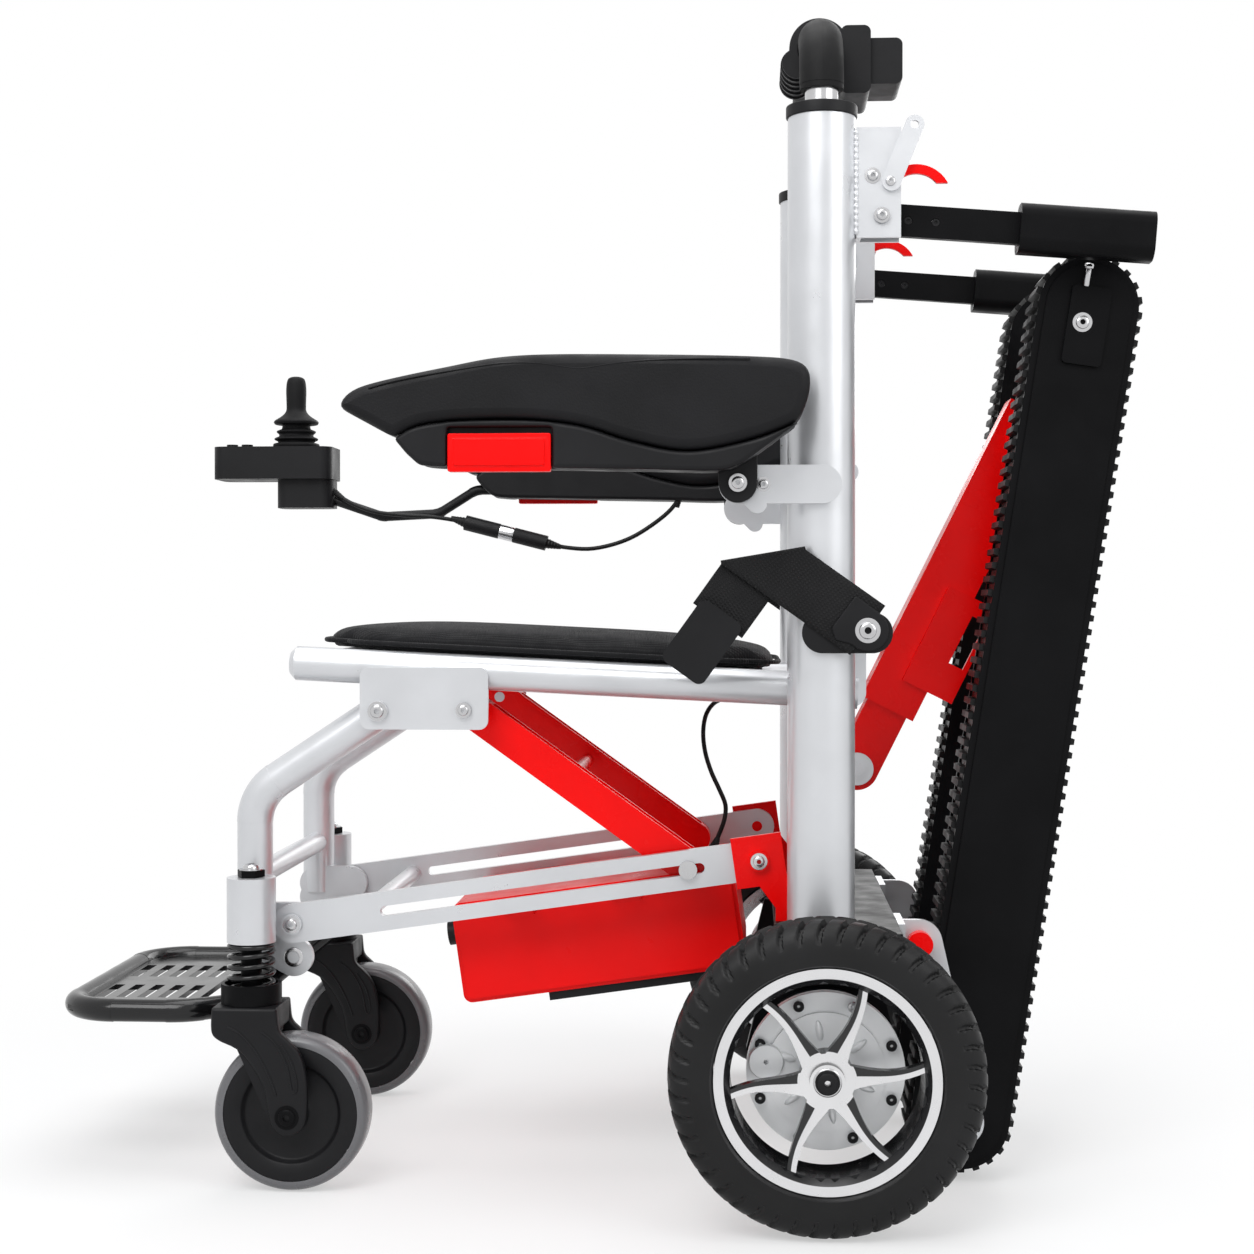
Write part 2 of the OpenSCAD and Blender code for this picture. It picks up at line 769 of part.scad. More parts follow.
// Control box clamped round the push bar
module hand_control() {
    top = handle_top - grip_r;
    bore = grip_r + gap;
    color("black") translate([post_x, control_y, 0]) rotate([-90, 0, 0]) translate([0, -top, 0])
        difference() {
        union() {
            cylinder(r = bore + control_clamp_t, h = control_l);
            translate([bore + control_body[0] / 2, control_drop, 0])
                linear_extrude(control_l) round_rect(control_body, control_round);
            translate([bore + control_body[0] + control_head[0] / 2 - control_round, control_drop,
                control_clamp_t])
                linear_extrude(control_l - 2 * control_clamp_t)
                    round_rect(control_head + [2 * control_round, 0], control_round);
            translate([-bore, control_nose_r, 0]) cylinder(r = control_nose_r, h = control_l);
            for (i = [0 : control_ridges - 1])
                translate([-bore, control_nose_r, (2 * i + 1) * control_l / (2 * control_ridges)])
                cylinder(r = control_nose_r + control_ridge_t / 2, h = control_ridge_t, center = true);
        }
        translate([0, 0, -cut]) cylinder(r = bore, h = control_l + 2 * cut);
    }
}

// Flat bar with a moulded grip, which turns up behind its post
module lift_bar() {
    color("black") translate([bar_pivot[0], 0, bar_pivot[1]]) rotate([0, bar_slope, 0]) difference() {
        union() {
            slab(bar_y - bar_t / 2, bar_y + bar_t / 2) bar2d([0, 0], [bar_len + lift_grip_l / 2, 0], bar_h);
            translate([bar_len, -bar_y, -lift_grip[0] / 2 + bar_h / 2]) rotate([0, 90, 0])
                linear_extrude(lift_grip_l) translate([-lift_grip[0] / 2 + bar_h / 2, 0])
                    round_rect(lift_grip, lift_grip_round);
        }
        cross_rod([0, 0], fold_pin_r + fit, bar_y - bar_t, bar_y + bar_t);
        for (share = bar_hole_shares) cross_rod([bar_len * share, 0], latch_hole_r, bar_y - bar_t,
            bar_y + bar_t);
    }
}

module lift_bar_left() {
    lift_bar();
}

module lift_bar_right() {
    mirror([0, 1, 0]) lift_bar();
}

// Curved red lever that frees its lift bar
module trigger() {
    color("red") slab(trigger_y - trigger_t / 2, trigger_y + trigger_t / 2) difference() {
        union() {
            translate(trigger_pivot) circle(trigger_w);
            translate(trigger_pivot + [trigger_l / 2, -trigger_bow]) difference() {
                circle(norm([trigger_l / 2, trigger_bow]) + trigger_w / 2);
                circle(norm([trigger_l / 2, trigger_bow]) - trigger_w / 2);
                translate([-trigger_l * 2, -trigger_l * 4 + trigger_bow]) square(trigger_l * 4);
            }
        }
        translate(trigger_pivot) circle(trigger_pin_r + fit);
    }
}

module trigger_left() {
    trigger();
}

module trigger_right() {
    mirror([0, 1, 0]) trigger();
}

// Places its children in the tracks' own frame: up along the belts from the lower shaft
module on_track() {
    translate([track_pivot[0], 0, track_pivot[1]]) rotate([0, track_lean, 0]) children();
}

// Side plates and slide bed inside each belt, with the tubes that tie the two tracks together
module track_frames() {
    far = belt_y + belt_w / 2 + gap;
    near = belt_y - belt_w / 2 - gap;
    bed_end = belt_in_r + gap;
    color("dimgray") on_track() difference() {
        union() both() {
            slab(far, far + side_plate_t) bar2d([0, 0], [0, track_len], 2 * side_plate_r);
            slab(far, far + side_plate_t + panel_t)
                bar2d([0, 0], [0, track_len], 2 * side_plate_r - 2 * panel_bevel);
            slab(near - side_plate_t, near) bar2d([0, 0], [0, track_len], 2 * side_plate_r);
            slab(near - side_plate_t, far + side_plate_t)
                translate([-belt_in_r + core_gap, bed_end])
                    square([2 * (belt_in_r - core_gap), track_len - 2 * bed_end]);
            slab(far, far + side_plate_t + panel_t + top_bracket_t)
                translate([0, track_len - top_bracket[1] / 4]) round_rect(top_bracket, top_pin_r);
            cross_rod([0, track_len], axle_r, near - side_plate_t, far + side_plate_t);
            for (share = track_tubes_share) cross_rod([0, track_len * share], track_tube_r, 0,
                near - side_plate_t * weld_share);
        }
        both() cross_rod([0, 0], track_shaft_r + fit, 0, far + side_plate_t + panel_t + cut);
    }
}

// Point on the outside of the belt at a distance along it, raised by a height
function belt_point(s, h) = let (r = belt_out_r, turn = PI * r, a = 180 / turn)
    s < track_len ? [r + h, s]
    : s < track_len + turn ? (r + h) * [cos((s - track_len) * a), sin((s - track_len) * a)] + [0, track_len]
    : s < 2 * track_len + turn ? [-r - h, 2 * track_len + turn - s]
    : (r + h) * [cos(180 + (s - 2 * track_len - turn) * a), sin(180 + (s - 2 * track_len - turn) * a)];
belt_run = 2 * track_len + 2 * PI * belt_out_r;
lug_count = floor(belt_run / lug_pitch);
function belt_outline() = [for (i = [0 : lug_count - 1])
    let (s = i * belt_run / lug_count, inset = (lug_root - lug_top) / 2)
    each [belt_point(s, 0), belt_point(s + inset, lug_h), belt_point(s + inset + lug_top, lug_h),
        belt_point(s + lug_root, 0)]];

module track_belts() {
    color([0.12, 0.12, 0.12]) on_track() both() slab(belt_y - belt_w / 2, belt_y + belt_w / 2)
        difference() {
        polygon(belt_outline());
        bar2d([0, 0], [0, track_len], 2 * belt_in_r);
    }
}

module pulley_pair(at, bore) {
    half = belt_w * pulley_w_share / 2;
    on_track() both() difference() {
        cross_rod(at, belt_in_r - core_gap, belt_y - half, belt_y + half);
        cross_rod(at, bore + fit, belt_y - half - cut, belt_y + half + cut);
    }
}

module drive_pulleys() {
    color("gray") pulley_pair([0, 0], track_shaft_r);
}

module idler_pulleys() {
    color("gray") pulley_pair([0, track_len], axle_r);
}

// Places its children in the track arm's own frame, from its lower pivot upwards
module on_arm() {
    translate([arm_pivot[0], 0, arm_pivot[1]]) rotate([0, -arm_slope, 0]) children();
}

module arm_inner() {
    bore = [arm_in[0] - 2 * arm_wall, arm_in[1] - 2 * arm_wall];
    color("red") on_arm() difference() {
        both() slab(0, arm_in[1] / 2) bar2d([0, 0], [arm_in_l - arm_in[0] / 2, 0], arm_in[0]);
        translate([arm_in[0] / 2, -bore[1] / 2, -bore[0] / 2]) cube([arm_in_l, bore[1], bore[0]]);
        both() cross_rod([0, 0], arm_pin_r + fit, 0, arm_in[1]);
    }
}

// Outer channel of the arm, with a guide plate below it and the pin and rollers at the tracks
module arm_outer() {
    l = arm_reach + arm_out_over - arm_out_start;
    bore = [arm_in[0] + 2 * gap, arm_in[1] + 2 * gap];
    color("red") on_arm() {
        difference() {
            translate([arm_out_start, -arm_out[1] / 2, -arm_out[0] / 2]) cube([l, arm_out[1], arm_out[0]]);
            translate([arm_out_start - cut, -bore[1] / 2, -bore[0] / 2])
                cube([l + 2 * cut, bore[1], bore[0]]);
        }
        both() {
            cross_rod([arm_reach, 0], arm_pin_r, 0, track_in_y - gap);
            cross_rod([arm_reach, 0], arm_roller_r, arm_out[1] / 2, arm_out[1] / 2 + arm_roller_r);
        }
        slab(arm_out[1] / 2, arm_out[1] / 2 + arm_guide_t) difference() {
            translate([arm_guide_at, -arm_guide_drop]) square([arm_guide_l, arm_guide_drop]);
            translate([arm_guide_at + arm_guide_l * arm_window_share[0], -arm_guide_drop + arm_guide_t])
                square([arm_guide_l * arm_window_share[1],
                    arm_guide_drop - arm_out[0] / 2 - 2 * arm_guide_t]);
        }
    }
}

// Places its children in the seat's own frame, from the front of the seat tubes to the rear
module on_seat() {
    translate([seat_tube[0][0], 0, seat_tube[0][1]]) rotate([0, -seat_slope, 0]) children();
}

// Seat tubes with their pan, the side plates for the legs and the gussets for the rear pivot
module seat_frame() {
    l = norm(seat_tube[1] - seat_tube[0]);
    color("silver") difference() {
        union() {
            on_seat() {
                both() translate([0, -seat_y, 0]) rotate([0, 90, 0]) {
                    cylinder(r = seat_tube_r, h = l);
                    translate([0, 0, -seat_nose])
                        cylinder(r1 = seat_tube_r - seat_nose, r2 = seat_tube_r, h = seat_nose);
                }
                translate([pan_x[0] - seat_tube[0][0], -seat_y, seat_tube_r - pan_sink - pan_t])
                    cube([pan_x[1] - pan_x[0], 2 * seat_y, pan_t]);
            }
            both() {
                slab(side_plate_y, side_plate_y + side_plate_th)
                    translate(side_plate_mid) round_rect(side_plate, side_plate_corner);
                slab(seat_gusset_y, seat_gusset_y + seat_gusset_t)
                    bar2d([seat_pivot[0], seat_tube[1][1]], seat_pivot, 2 * seat_gusset_r);
                cross_rod(seat_leg_pivot, fold_pin_r, leg_y - leg_r,
                    side_plate_y + side_plate_th + pin_head_t);
                cross_rod(seat_leg_pivot, pin_head_r, side_plate_y,
                    side_plate_y + side_plate_th + pin_head_t);
                cross_rod(strut_pivot, fold_pin_r, strut_y - strut_w / 2,
                    side_plate_y + side_plate_th + pin_head_t);
            }
        }
        both() cross_rod(seat_pivot, fold_pin_r + fit, seat_gusset_y - cut,
            seat_gusset_y + seat_gusset_t + cut);
    }
}

module seat_cushion() {
    l = cushion_x[1] - cushion_x[0];
    color("black") on_seat() translate([cushion_x[0] - seat_tube[0][0] + l / 2, 0, seat_tube_r + gap])
        soft_pad(l, cushion_w, cushion_edge, cushion_t - cushion_edge, cushion_draw, 12);
}

// Places its children in the rails' own frame: X from the rear pivot to the legs, Z downwards
module on_rails() {
    translate([rail_pivot[0], 0, rail_pivot[1]]) rotate([0, -rail_angle, 0]) children();
}

module side_rails() {
    color("silver") on_rails() {
        both() slab(rail_y - rail_t / 2, rail_y + rail_t / 2) difference() {
            bar2d([0, 0], [rail_len, 0], rail_h);
            bar2d([slot_span[0], 0], [slot_span[1], 0], slot_h);
            circle(fold_pin_r + fit);
            translate([rail_len, 0]) circle(fold_pin_r + fit);
        }
        both() cross_rod([rail_tube_at, 0], rail_tube_r, 0, rail_y - rail_t / 2 + rail_t * weld_share);
    }
}

// Battery box slung between the rails
module battery_box() {
    mid = [box_at + box_l / 2, box_top + box_h / 2];
    color("red") on_rails() {
        both() slab(0, box_w / 2 - box_rib) translate(mid) round_rect([box_l, box_h], box_round);
        both() slab(0, box_w / 2) translate(mid)
            round_rect([box_l - 2 * box_rib, box_h - 2 * box_rib], box_round - box_rib);
        both() for (at = box_tabs_at) slab(box_w / 2 - box_round, rail_y - rail_t / 2)
            translate([at - box_tab[0] / 2, box_top + box_rib]) square(box_tab);
    }
}

// Connectors on the front of the box, the flat bar under it and its rubber stops
module battery_fittings() {
    base = box_top + box_h;
    color([0.1, 0.1, 0.1]) on_rails() {
        both() translate([box_at + box_l, -box_w / 4, box_top + box_h * plug_share]) rotate([0, 90, 0])
            cylinder(r = plug_r, h = plug_l);
        translate([box_at + under_bar_at / 2, -box_w / 2 + box_round, base])
            cube([under_bar_l, box_w - 2 * box_round, under_bar_t]);
        both() translate([under_bar_at, -box_w / 4, base + under_bar_t])
            cylinder(r = foot_knob_r, h = foot_knob_l);
    }
}

module seat_cable() {
    color([0.08, 0.08, 0.08]) swept(cord_seat, cord_r, cord_sides);
}

// Shouldered pins that run in the slots of the rails
module slot_slides() {
    near = strut_y + strut_w / 2 + gap;
    color("silver") on_rails() both() {
        cross_rod([slot_pin_at, 0], slot_pin_r, near, rail_y + rail_t / 2 + gap);
        cross_rod([slot_pin_at, 0], slide_head_r, rail_y + rail_t / 2 + gap,
            rail_y + rail_t / 2 + gap + pin_head_t);
    }
}

// Red channel struts between the seat and the rails
module fold_struts() {
    near = strut_y - strut_w / 2;
    color("red") translate([strut_pivot[0], 0, strut_pivot[1]]) rotate([0, -strut_angle, 0]) difference() {
        both() {
            slab(near, near + strut_w) bar2d([0, 0], [strut_len, 0], strut_h);
            cross_rod([strut_len * strut_web_share, 0], strut_web_r, 0, near + strut_wall);
        }
        both() {
            cross_rod([0, 0], fold_pin_r + fit, near - cut, near + strut_w + cut);
            slab(near + strut_wall, near + strut_w - strut_wall)
                translate([strut_h / 2, strut_wall - strut_h / 2])
                    square([strut_len - strut_h / 2 - strut_wall, strut_h]);
        }
    }
}

// Bent front legs with the caster sockets, the plates for the rails and footrest, and their cross tube
module front_legs() {
    plate = leg_bracket_y + leg_bracket_t;
    color("silver") difference() {
        union() both() {
            translate([0, -leg_y, 0]) rotate([90, 0, 0]) bent_tube(leg_axis, leg_r, leg_bend_r);
            cross_rod(seat_leg_pivot, leg_r - leg_eye_trim, leg_y - leg_r + leg_eye_trim,
                leg_y + leg_r - leg_eye_trim);
            translate([socket_x, -socket_y, socket_z[0]])
                cylinder(r = socket_r, h = socket_z[1] - socket_z[0]);
            slab(leg_bracket_y, plate) {
                bar2d([leg_axis[1][0], leg_pivot[1]], leg_pivot, 2 * leg_bracket_r);
                bar2d([leg_axis[1][0], foot_pivot[1] + leg_bracket_r], foot_pivot, 2 * leg_bracket_r);
            }
            cross_rod([leg_axis[1][0], leg_cross_z], leg_cross_r, 0, leg_y);
            cross_rod(leg_pivot, fold_pin_r, leg_bracket_y, rail_y + rail_t / 2 + gap + pin_head_t);
            cross_rod(leg_pivot, pin_head_r, rail_y + rail_t / 2 + gap,
                rail_y + rail_t / 2 + gap + pin_head_t);
            cross_rod(foot_pivot, fold_pin_r, foot_eye_y, plate + foot_head_t);
        }
        both() {
            translate([socket_x, -socket_y, socket_z[0] - cut])
                cylinder(r = stem_r + fit, h = socket_z[1] - socket_z[0] + 2 * cut);
            cross_rod(seat_leg_pivot, fold_pin_r + fit, leg_y - leg_r - cut, leg_y + leg_r + cut);
        }
    }
}

// Footrest loop with its slotted plate and the two arms to its pivot
module footrest() {
    nose = foot_x[0] + foot_tube_r;
    path = [[foot_x[2], -foot_half[0]], [foot_x[1], -foot_half[1]], [nose, -foot_half[1]],
        [nose, foot_half[1]],
        [foot_x[1], foot_half[1]], [foot_x[2], foot_half[0]]];
    color([0.1, 0.1, 0.1]) difference() {
        union() {
            translate([0, 0, foot_z]) bent_tube(path, foot_tube_r, foot_corner);
            translate([nose, -foot_half[1] + foot_tube_r / 2, foot_z - foot_plate_t / 2]) difference() {
                cube([foot_x[1] - nose, 2 * foot_half[1] - foot_tube_r, foot_plate_t]);
                for (row = [0 : foot_slot_rows - 1], i = [0 : foot_slot_count - 1])
                    translate([foot_slot_pitch * (i + 1) - foot_slot[0] / 2,
                        foot_slot_in + row * (foot_slot[1] + foot_slot_in), -cut])
                        cube([foot_slot[0], foot_slot[1], foot_plate_t + 2 * cut]);
            }
            both() {
                arm = [foot_pivot[0] - foot_x[2], 0, foot_pivot[1] - foot_z];
                translate([foot_x[2], -foot_half[0], foot_z]) rotate([0, atan2(arm[0], arm[2]), 0])
                    cylinder(r = foot_tube_r, h = norm(arm));
                translate([foot_x[2], -foot_half[0], foot_z]) sphere(foot_tube_r + foot_bead);
                cross_rod(foot_pivot, foot_eye_r, foot_eye_y, leg_bracket_y - gap);
            }
        }
        both() cross_rod(foot_pivot, fold_pin_r + fit, foot_half[0] - foot_tube_r - cut,
            leg_bracket_y + cut);
    }
}

// Stem that slides in the caster socket, with the spring's cup and the king pin under it
module caster_stem() {
    color("dimgray") translate([socket_x, -socket_y, 0]) {
        translate([0, 0, cup_z[0] + cup_floor])
            cylinder(r = stem_r, h = socket_z[1] + gap + stem_nut_t - cup_z[0] - cup_floor);
        translate([0, 0, socket_z[1] + gap]) cylinder(r = stem_nut_r, h = stem_nut_t, $fn = 6);
        translate([0, 0, cup_z[0] - king_l]) cylinder(r = king_r, h = king_l + cup_floor);
        difference() {
            translate([0, 0, cup_z[0]]) cylinder(r = cup_r, h = cup_z[1] - cup_z[0]);
            translate([0, 0, cup_z[0] + cup_floor]) cylinder(r = cup_r - cup_wall, h = cup_z[1]);
        }
    }
}

module caster_stem_left() {
    caster_stem();
}

module caster_stem_right() {
    mirror([0, 1, 0]) caster_stem();
}

// Coil spring as one unbroken tube between the cup and the socket
spring_z = [cup_z[0] + cup_floor + gap, socket_z[0] - gap];
spring_pitch = (spring_z[1] - spring_z[0] - spring_wire) / spring_turns;
function coil_path() = [for (i = [0 : coil_rings * spring_turns]) let (a = 360 * i / coil_rings)
    [coil_r * cos(a), coil_r * sin(a), spring_z[0] + spring_wire / 2 + spring_pitch * i / coil_rings]];
function coil_gap(p) = min([for (i = [0 : len(p) - 1])
    for (j = [i + coil_rings - 1 : 1 : min(i + coil_rings + 1, len(p) - 1)])
    norm(p[i] - p[j])]) - spring_wire;
echo(spring_gap = coil_gap(coil_path()));

module caster_spring() {
    color([0.1, 0.1, 0.1]) translate([socket_x, -socket_y, 0])
        swept(coil_path(), spring_wire / 2, coil_sides);
}

module caster_spring_left() {
    caster_spring();
}

module caster_spring_right() {
    mirror([0, 1, 0]) caster_spring();
}

// Swivelling fork with curved cheeks on both sides of the caster wheel
module caster_fork() {
    cheek = caster_w / 2 + fork_arm_gap;
    color([0.1, 0.1, 0.1]) difference() {
        union() {
            translate([socket_x, -socket_y, fork_top - fork_crown_h])
                cylinder(r = fork_crown_r, h = fork_crown_h);
            for (y = [socket_y - cheek - fork_arm_t, socket_y + cheek]) slab(y, y + fork_arm_t) {
                bar2d([socket_x, fork_top - fork_crown_h / 2],
                    [socket_x + fork_lean, fork_top - fork_crown_h], fork_crown_h);
                bar2d([socket_x + fork_lean, fork_top - fork_crown_h], [caster_x, caster_r],
                    2 * fork_eye_r);
            }
            cross_rod([caster_x, caster_r], caster_axle_r, socket_y - cheek - fork_arm_t,
                socket_y + cheek + fork_arm_t);
        }
        translate([socket_x, -socket_y, cup_z[0] - king_l - gap])
            cylinder(r = king_r + fit, h = king_l + fork_crown_h);
        for (y = [socket_y - cheek - fork_arm_t, socket_y + cheek + fork_arm_t])
            slab(y - fork_groove_t, y + fork_groove_t)
            bar2d([socket_x + fork_lean, fork_top - fork_crown_h],
                [caster_x - fork_groove_w, caster_r + fork_eye_r * 2], fork_groove_w);
    }
}

module caster_fork_left() {
    caster_fork();
}

module caster_fork_right() {
    mirror([0, 1, 0]) caster_fork();
}

// Caster wheel: a soft tyre round a dished hub
module caster_wheel() {
    rim = caster_r - caster_tyre_t;
    half = caster_w / 2;
    color([0.35, 0.35, 0.36]) translate([caster_x, -socket_y, caster_r]) rotate([90, 0, 0]) {
        rotate_extrude() difference() {
            translate([rim, -half]) square([caster_tyre_t, caster_w]);
            for (s = [-1, 1]) translate([caster_r, s * half]) rotate(45)
                square(caster_round, center = true);
        }
        rotate_extrude() difference() {
            translate([caster_axle_r + fit, -half]) square([rim - fit - caster_axle_r - fit, caster_w]);
            for (s = [-1, 1]) translate([caster_hub_boss_r, s * half - caster_recess_t])
                square([caster_recess_r - caster_hub_boss_r, 2 * caster_recess_t]);
        }
    }
}

module caster_wheel_left() {
    caster_wheel();
}

module caster_wheel_right() {
    mirror([0, 1, 0]) caster_wheel();
}

// Rear tyre with rounded shoulders
function tyre_arc() = [for (a = [-90 : 15 : 90]) let (c = cos(a), s = sin(a))
    [wheel_r - tyre_crown + tyre_crown * pow(c, tyre_square_share),
        tyre_w / 2 * sign(s) * pow(abs(s), tyre_square_share)]];
module wheel_tyre() {
    color([0.1, 0.1, 0.1]) translate([wheel_x, -wheel_y, wheel_r]) rotate([90, 0, 0])
        rotate_extrude($fn = 96)
        polygon(concat([[rim_lip_r + gap, -rim_w / 2]], tyre_arc(), [[rim_lip_r + gap, rim_w / 2]]));
}

module wheel_tyre_left() {
    wheel_tyre();
}

module wheel_tyre_right() {
    mirror([0, 1, 0]) wheel_tyre();
}

// Centre line of a bowed spoke, and its outline
function spoke_mid(t) = let (
    root = rim_hub_r * spoke_root_share,
    r = root + t * (rim_lip_r - rim_lip_t - rim_barrel_t / 2 - root),
    a = spoke_bow * sin(180 * t))
    r * [cos(a), sin(a)];
function spoke_half(t) = spoke_w / 2 * (1 + spoke_flare_share * pow(1 - t, 3));
function spoke_outline() = concat(
    [for (i = [0 : spoke_steps]) spoke_mid(i / spoke_steps) + [0, spoke_half(i / spoke_steps)]],
    [for (i = [spoke_steps : -1 : 0]) spoke_mid(i / spoke_steps) - [0, spoke_half(i / spoke_steps)]]);

// Cast rim: two lips, a barrel, bowed spokes and the hub
module wheel_rim() {
    lip = rim_lip_r - rim_lip_t;
    face = rim_w / 2 - spoke_inset;
    color("silver") translate([wheel_x, -wheel_y, wheel_r]) rotate([90, 0, 0]) rotate(spoke_phase) difference() {
        union() {
            rotate_extrude($fn = 96) polygon([[lip - rim_barrel_t, -rim_w / 2], [rim_lip_r, -rim_w / 2],
                [rim_lip_r, -rim_w / 2 + rim_lip_t], [lip, -rim_w / 2 + 2 * rim_lip_t],
                [lip, rim_w / 2 - 2 * rim_lip_t],
                [rim_lip_r, rim_w / 2 - rim_lip_t], [rim_lip_r, rim_w / 2], [lip, rim_w / 2],
                [lip - rim_barrel_t, face]]);
            translate([0, 0, face - rim_hub_t]) cylinder(r = rim_hub_r, h = rim_hub_t);
            for (i = [0 : spoke_count - 1]) rotate(180 * (2 * i + 1) / spoke_count)
                translate([0, 0, face - spoke_t]) linear_extrude(spoke_t) polygon(spoke_outline());
            translate([0, 0, face]) cylinder(r = hub_cap_r, h = hub_cap_t);
        }
        translate([0, 0, -rim_w]) cylinder(r = axle_r + fit, h = rim_w + rim_hub_l / 2 + gap);
    }
}

module wheel_rim_left() {
    wheel_rim();
}

module wheel_rim_right() {
    mirror([0, 1, 0]) wheel_rim();
}

// Smooth curve through the points of a list
function spline(p, i, t) = let (a = p[max(i - 1, 0)], b = p[i], c = p[i + 1], d = p[min(i + 2, len(p) - 1)])
    0.5 * (2 * b + (c - a) * t + (2 * a - 5 * b + 4 * c - d) * t * t + (3 * b - a - 3 * c + d) * t * t * t);
function smooth(p, n) = concat([for (i = [0 : len(p) - 2], k = [0 : n - 1]) spline(p, i, k / n)],
    [p[len(p) - 1]]);

// Outline drawn in towards its middle
function inset(p, d) = let (c = [for (q = p) 1] * p / len(p)) [for (q = p) q + d * unit(c - q)];

// Upholstered pad over a moulded cover, parted along a curved seam
module armrest(bored) {
    shift = [0, arm_seam_gap];
    seam = smooth(arm_seam, 4);
    upper = concat(smooth(concat([arm_tip], arm_top), 4), [arm_heel], [for (q = seam) q + shift]);
    lower = concat(seam, [arm_low[1], arm_low[0]]);
    recess = [paddle_x[1] - paddle_x[0] + 2 * paddle_slot,
        paddle_z[1] - paddle_z[0] + paddle_slot + paddle_travel];
    color([0.12, 0.12, 0.12]) difference() {
        union() {
            slab(arm_y + pad_crown, arm_y + arm_w - pad_crown) polygon(upper);
            slab(arm_y, arm_y + arm_w) polygon(inset(upper, pad_crown));
            slab(arm_y + pad_crown, arm_y + arm_w - pad_crown) polygon(lower);
            slab(arm_y, arm_y + arm_lug_t) {
                translate(arm_hinge) circle(arm_hinge_r);
                translate(arm_hinge - [arm_hinge_r, 0])
                    square([2 * arm_hinge_r, arm_seam[2][1] - arm_hinge[1]]);
            }
        }
        cross_rod(arm_hinge, fold_pin_r + fit, arm_y - cut, arm_y + arm_lug_t + cut);
        translate([paddle_x[0] - paddle_slot, -arm_y - arm_w - cut, paddle_z[0] - paddle_slot - cut])
            cube([recess[0], paddle_t + gap + cut, recess[1] + cut]);
        if (bored) translate([support_path[3][0] - support_r, -stick_y, support_path[4][1]])
            rotate([0, 90, 0])
            cylinder(r = support_r + gap, h = support_path[4][0] - support_path[3][0] + support_r + gap);
    }
}

module armrest_left() {
    armrest(false);
}

module armrest_right() {
    mirror([0, 1, 0]) armrest(true);
}

// Red release paddle let into the cover
module paddle() {
    out = arm_y + arm_w;
    color("red") {
        slab(out - paddle_t, out - paddle_rib) translate([paddle_x[0], paddle_z[0]])
            square([paddle_x[1] - paddle_x[0], paddle_z[1] - paddle_z[0]]);
        slab(out - paddle_t, out) translate([paddle_x[0] + paddle_rib * 2, paddle_z[0] + paddle_rib * 2])
            square([paddle_x[1] - paddle_x[0] - paddle_rib * 4,
                paddle_z[1] - paddle_z[0] - paddle_rib * 4]);
    }
}

module paddle_left() {
    paddle();
}

module paddle_right() {
    mirror([0, 1, 0]) paddle();
}

// Joystick housing with its foot and the rod that carries it from the right armrest
module joystick_box() {
    top = joy_box_z + joy_box[2];
    color([0.12, 0.12, 0.12]) difference() {
        union() {
            translate([joy_box_x, stick_y, joy_box_z]) linear_extrude(joy_box[2])
                round_rect([joy_box[0], joy_box[1]], joy_round);
            translate([joy_foot_x, stick_y, joy_box_z - joy_foot[1]]) linear_extrude(joy_foot[1] + cut)
                round_rect([joy_foot[0], joy_foot_w], joy_round);
            translate([0, stick_y, 0]) rotate([90, 0, 0])
                bent_tube(support_path, support_r, support_bend_r);
        }
        translate([stick_x, stick_y, stick_pivot_z - joy_well_r / 2])
            cylinder(r = joy_well_r, h = joy_box[2]);
        for (x = button_x) translate([x, stick_y, top - button_h * 2])
            cylinder(r = button_r + gap, h = button_h * 2 + cut);
    }
}

// Ring in the housing that lets the stick tilt both ways
module joystick_gimbal() {
    color("gray") translate([stick_x, stick_y, stick_pivot_z]) {
        difference() {
            cylinder(r = gimbal_r, h = gimbal_t, center = true);
            cylinder(r = gimbal_r - gimbal_t, h = gimbal_t + 2 * cut, center = true);
            rotate([0, 90, 0]) cylinder(r = trunnion_r + fit, h = 2 * (gimbal_r + cut), center = true);
        }
        for (s = [-90, 90]) rotate([s, 0, 0]) translate([0, 0, gimbal_r - gimbal_t / 2])
            cylinder(r = trunnion_r, h = joy_well_r - gap - gimbal_r + gimbal_t / 2);
    }
}

function knob_side() = [for (i = [0 : len(knob_z_shares) - 1])
    [stick_knob_r * knob_r_shares[i], stick_knob_h * knob_z_shares[i]]];
module joystick_stick() {
    neck = stick_top - stick_knob_h;
    color([0.1, 0.1, 0.1]) translate([stick_x, stick_y, 0]) {
        translate([0, 0, stick_pivot_z]) sphere(gimbal_r - gimbal_t - gap);
        translate([0, 0, stick_pivot_z]) rotate([0, 90, 0])
            cylinder(r = trunnion_r, h = 2 * gimbal_r, center = true);
        translate([0, 0, stick_pivot_z]) cylinder(r = stick_r, h = neck + stick_r - stick_pivot_z);
        translate([0, 0, neck]) rotate_extrude()
            polygon(concat([[0, 0]], smooth(knob_side(), 4), [[0, stick_knob_h]]));
    }
}

// Bellows round the foot of the stick
function boot_side(inset) = [for (i = [0 : 2 * boot_folds]) let (t = i / (2 * boot_folds))
    [boot_r[0] + (boot_r[1] - boot_r[0]) * t - (i % 2) * boot_fold_t - inset,
        boot_z[0] + (boot_z[1] - boot_z[0]) * t]];
module joystick_boot() {
    inner = boot_side(boot_fold_t * boot_wall_share);
    color([0.1, 0.1, 0.1]) translate([stick_x, stick_y, 0]) rotate_extrude()
        polygon(concat(boot_side(0), [for (i = [len(inner) - 1 : -1 : 0]) inner[i]]));
}

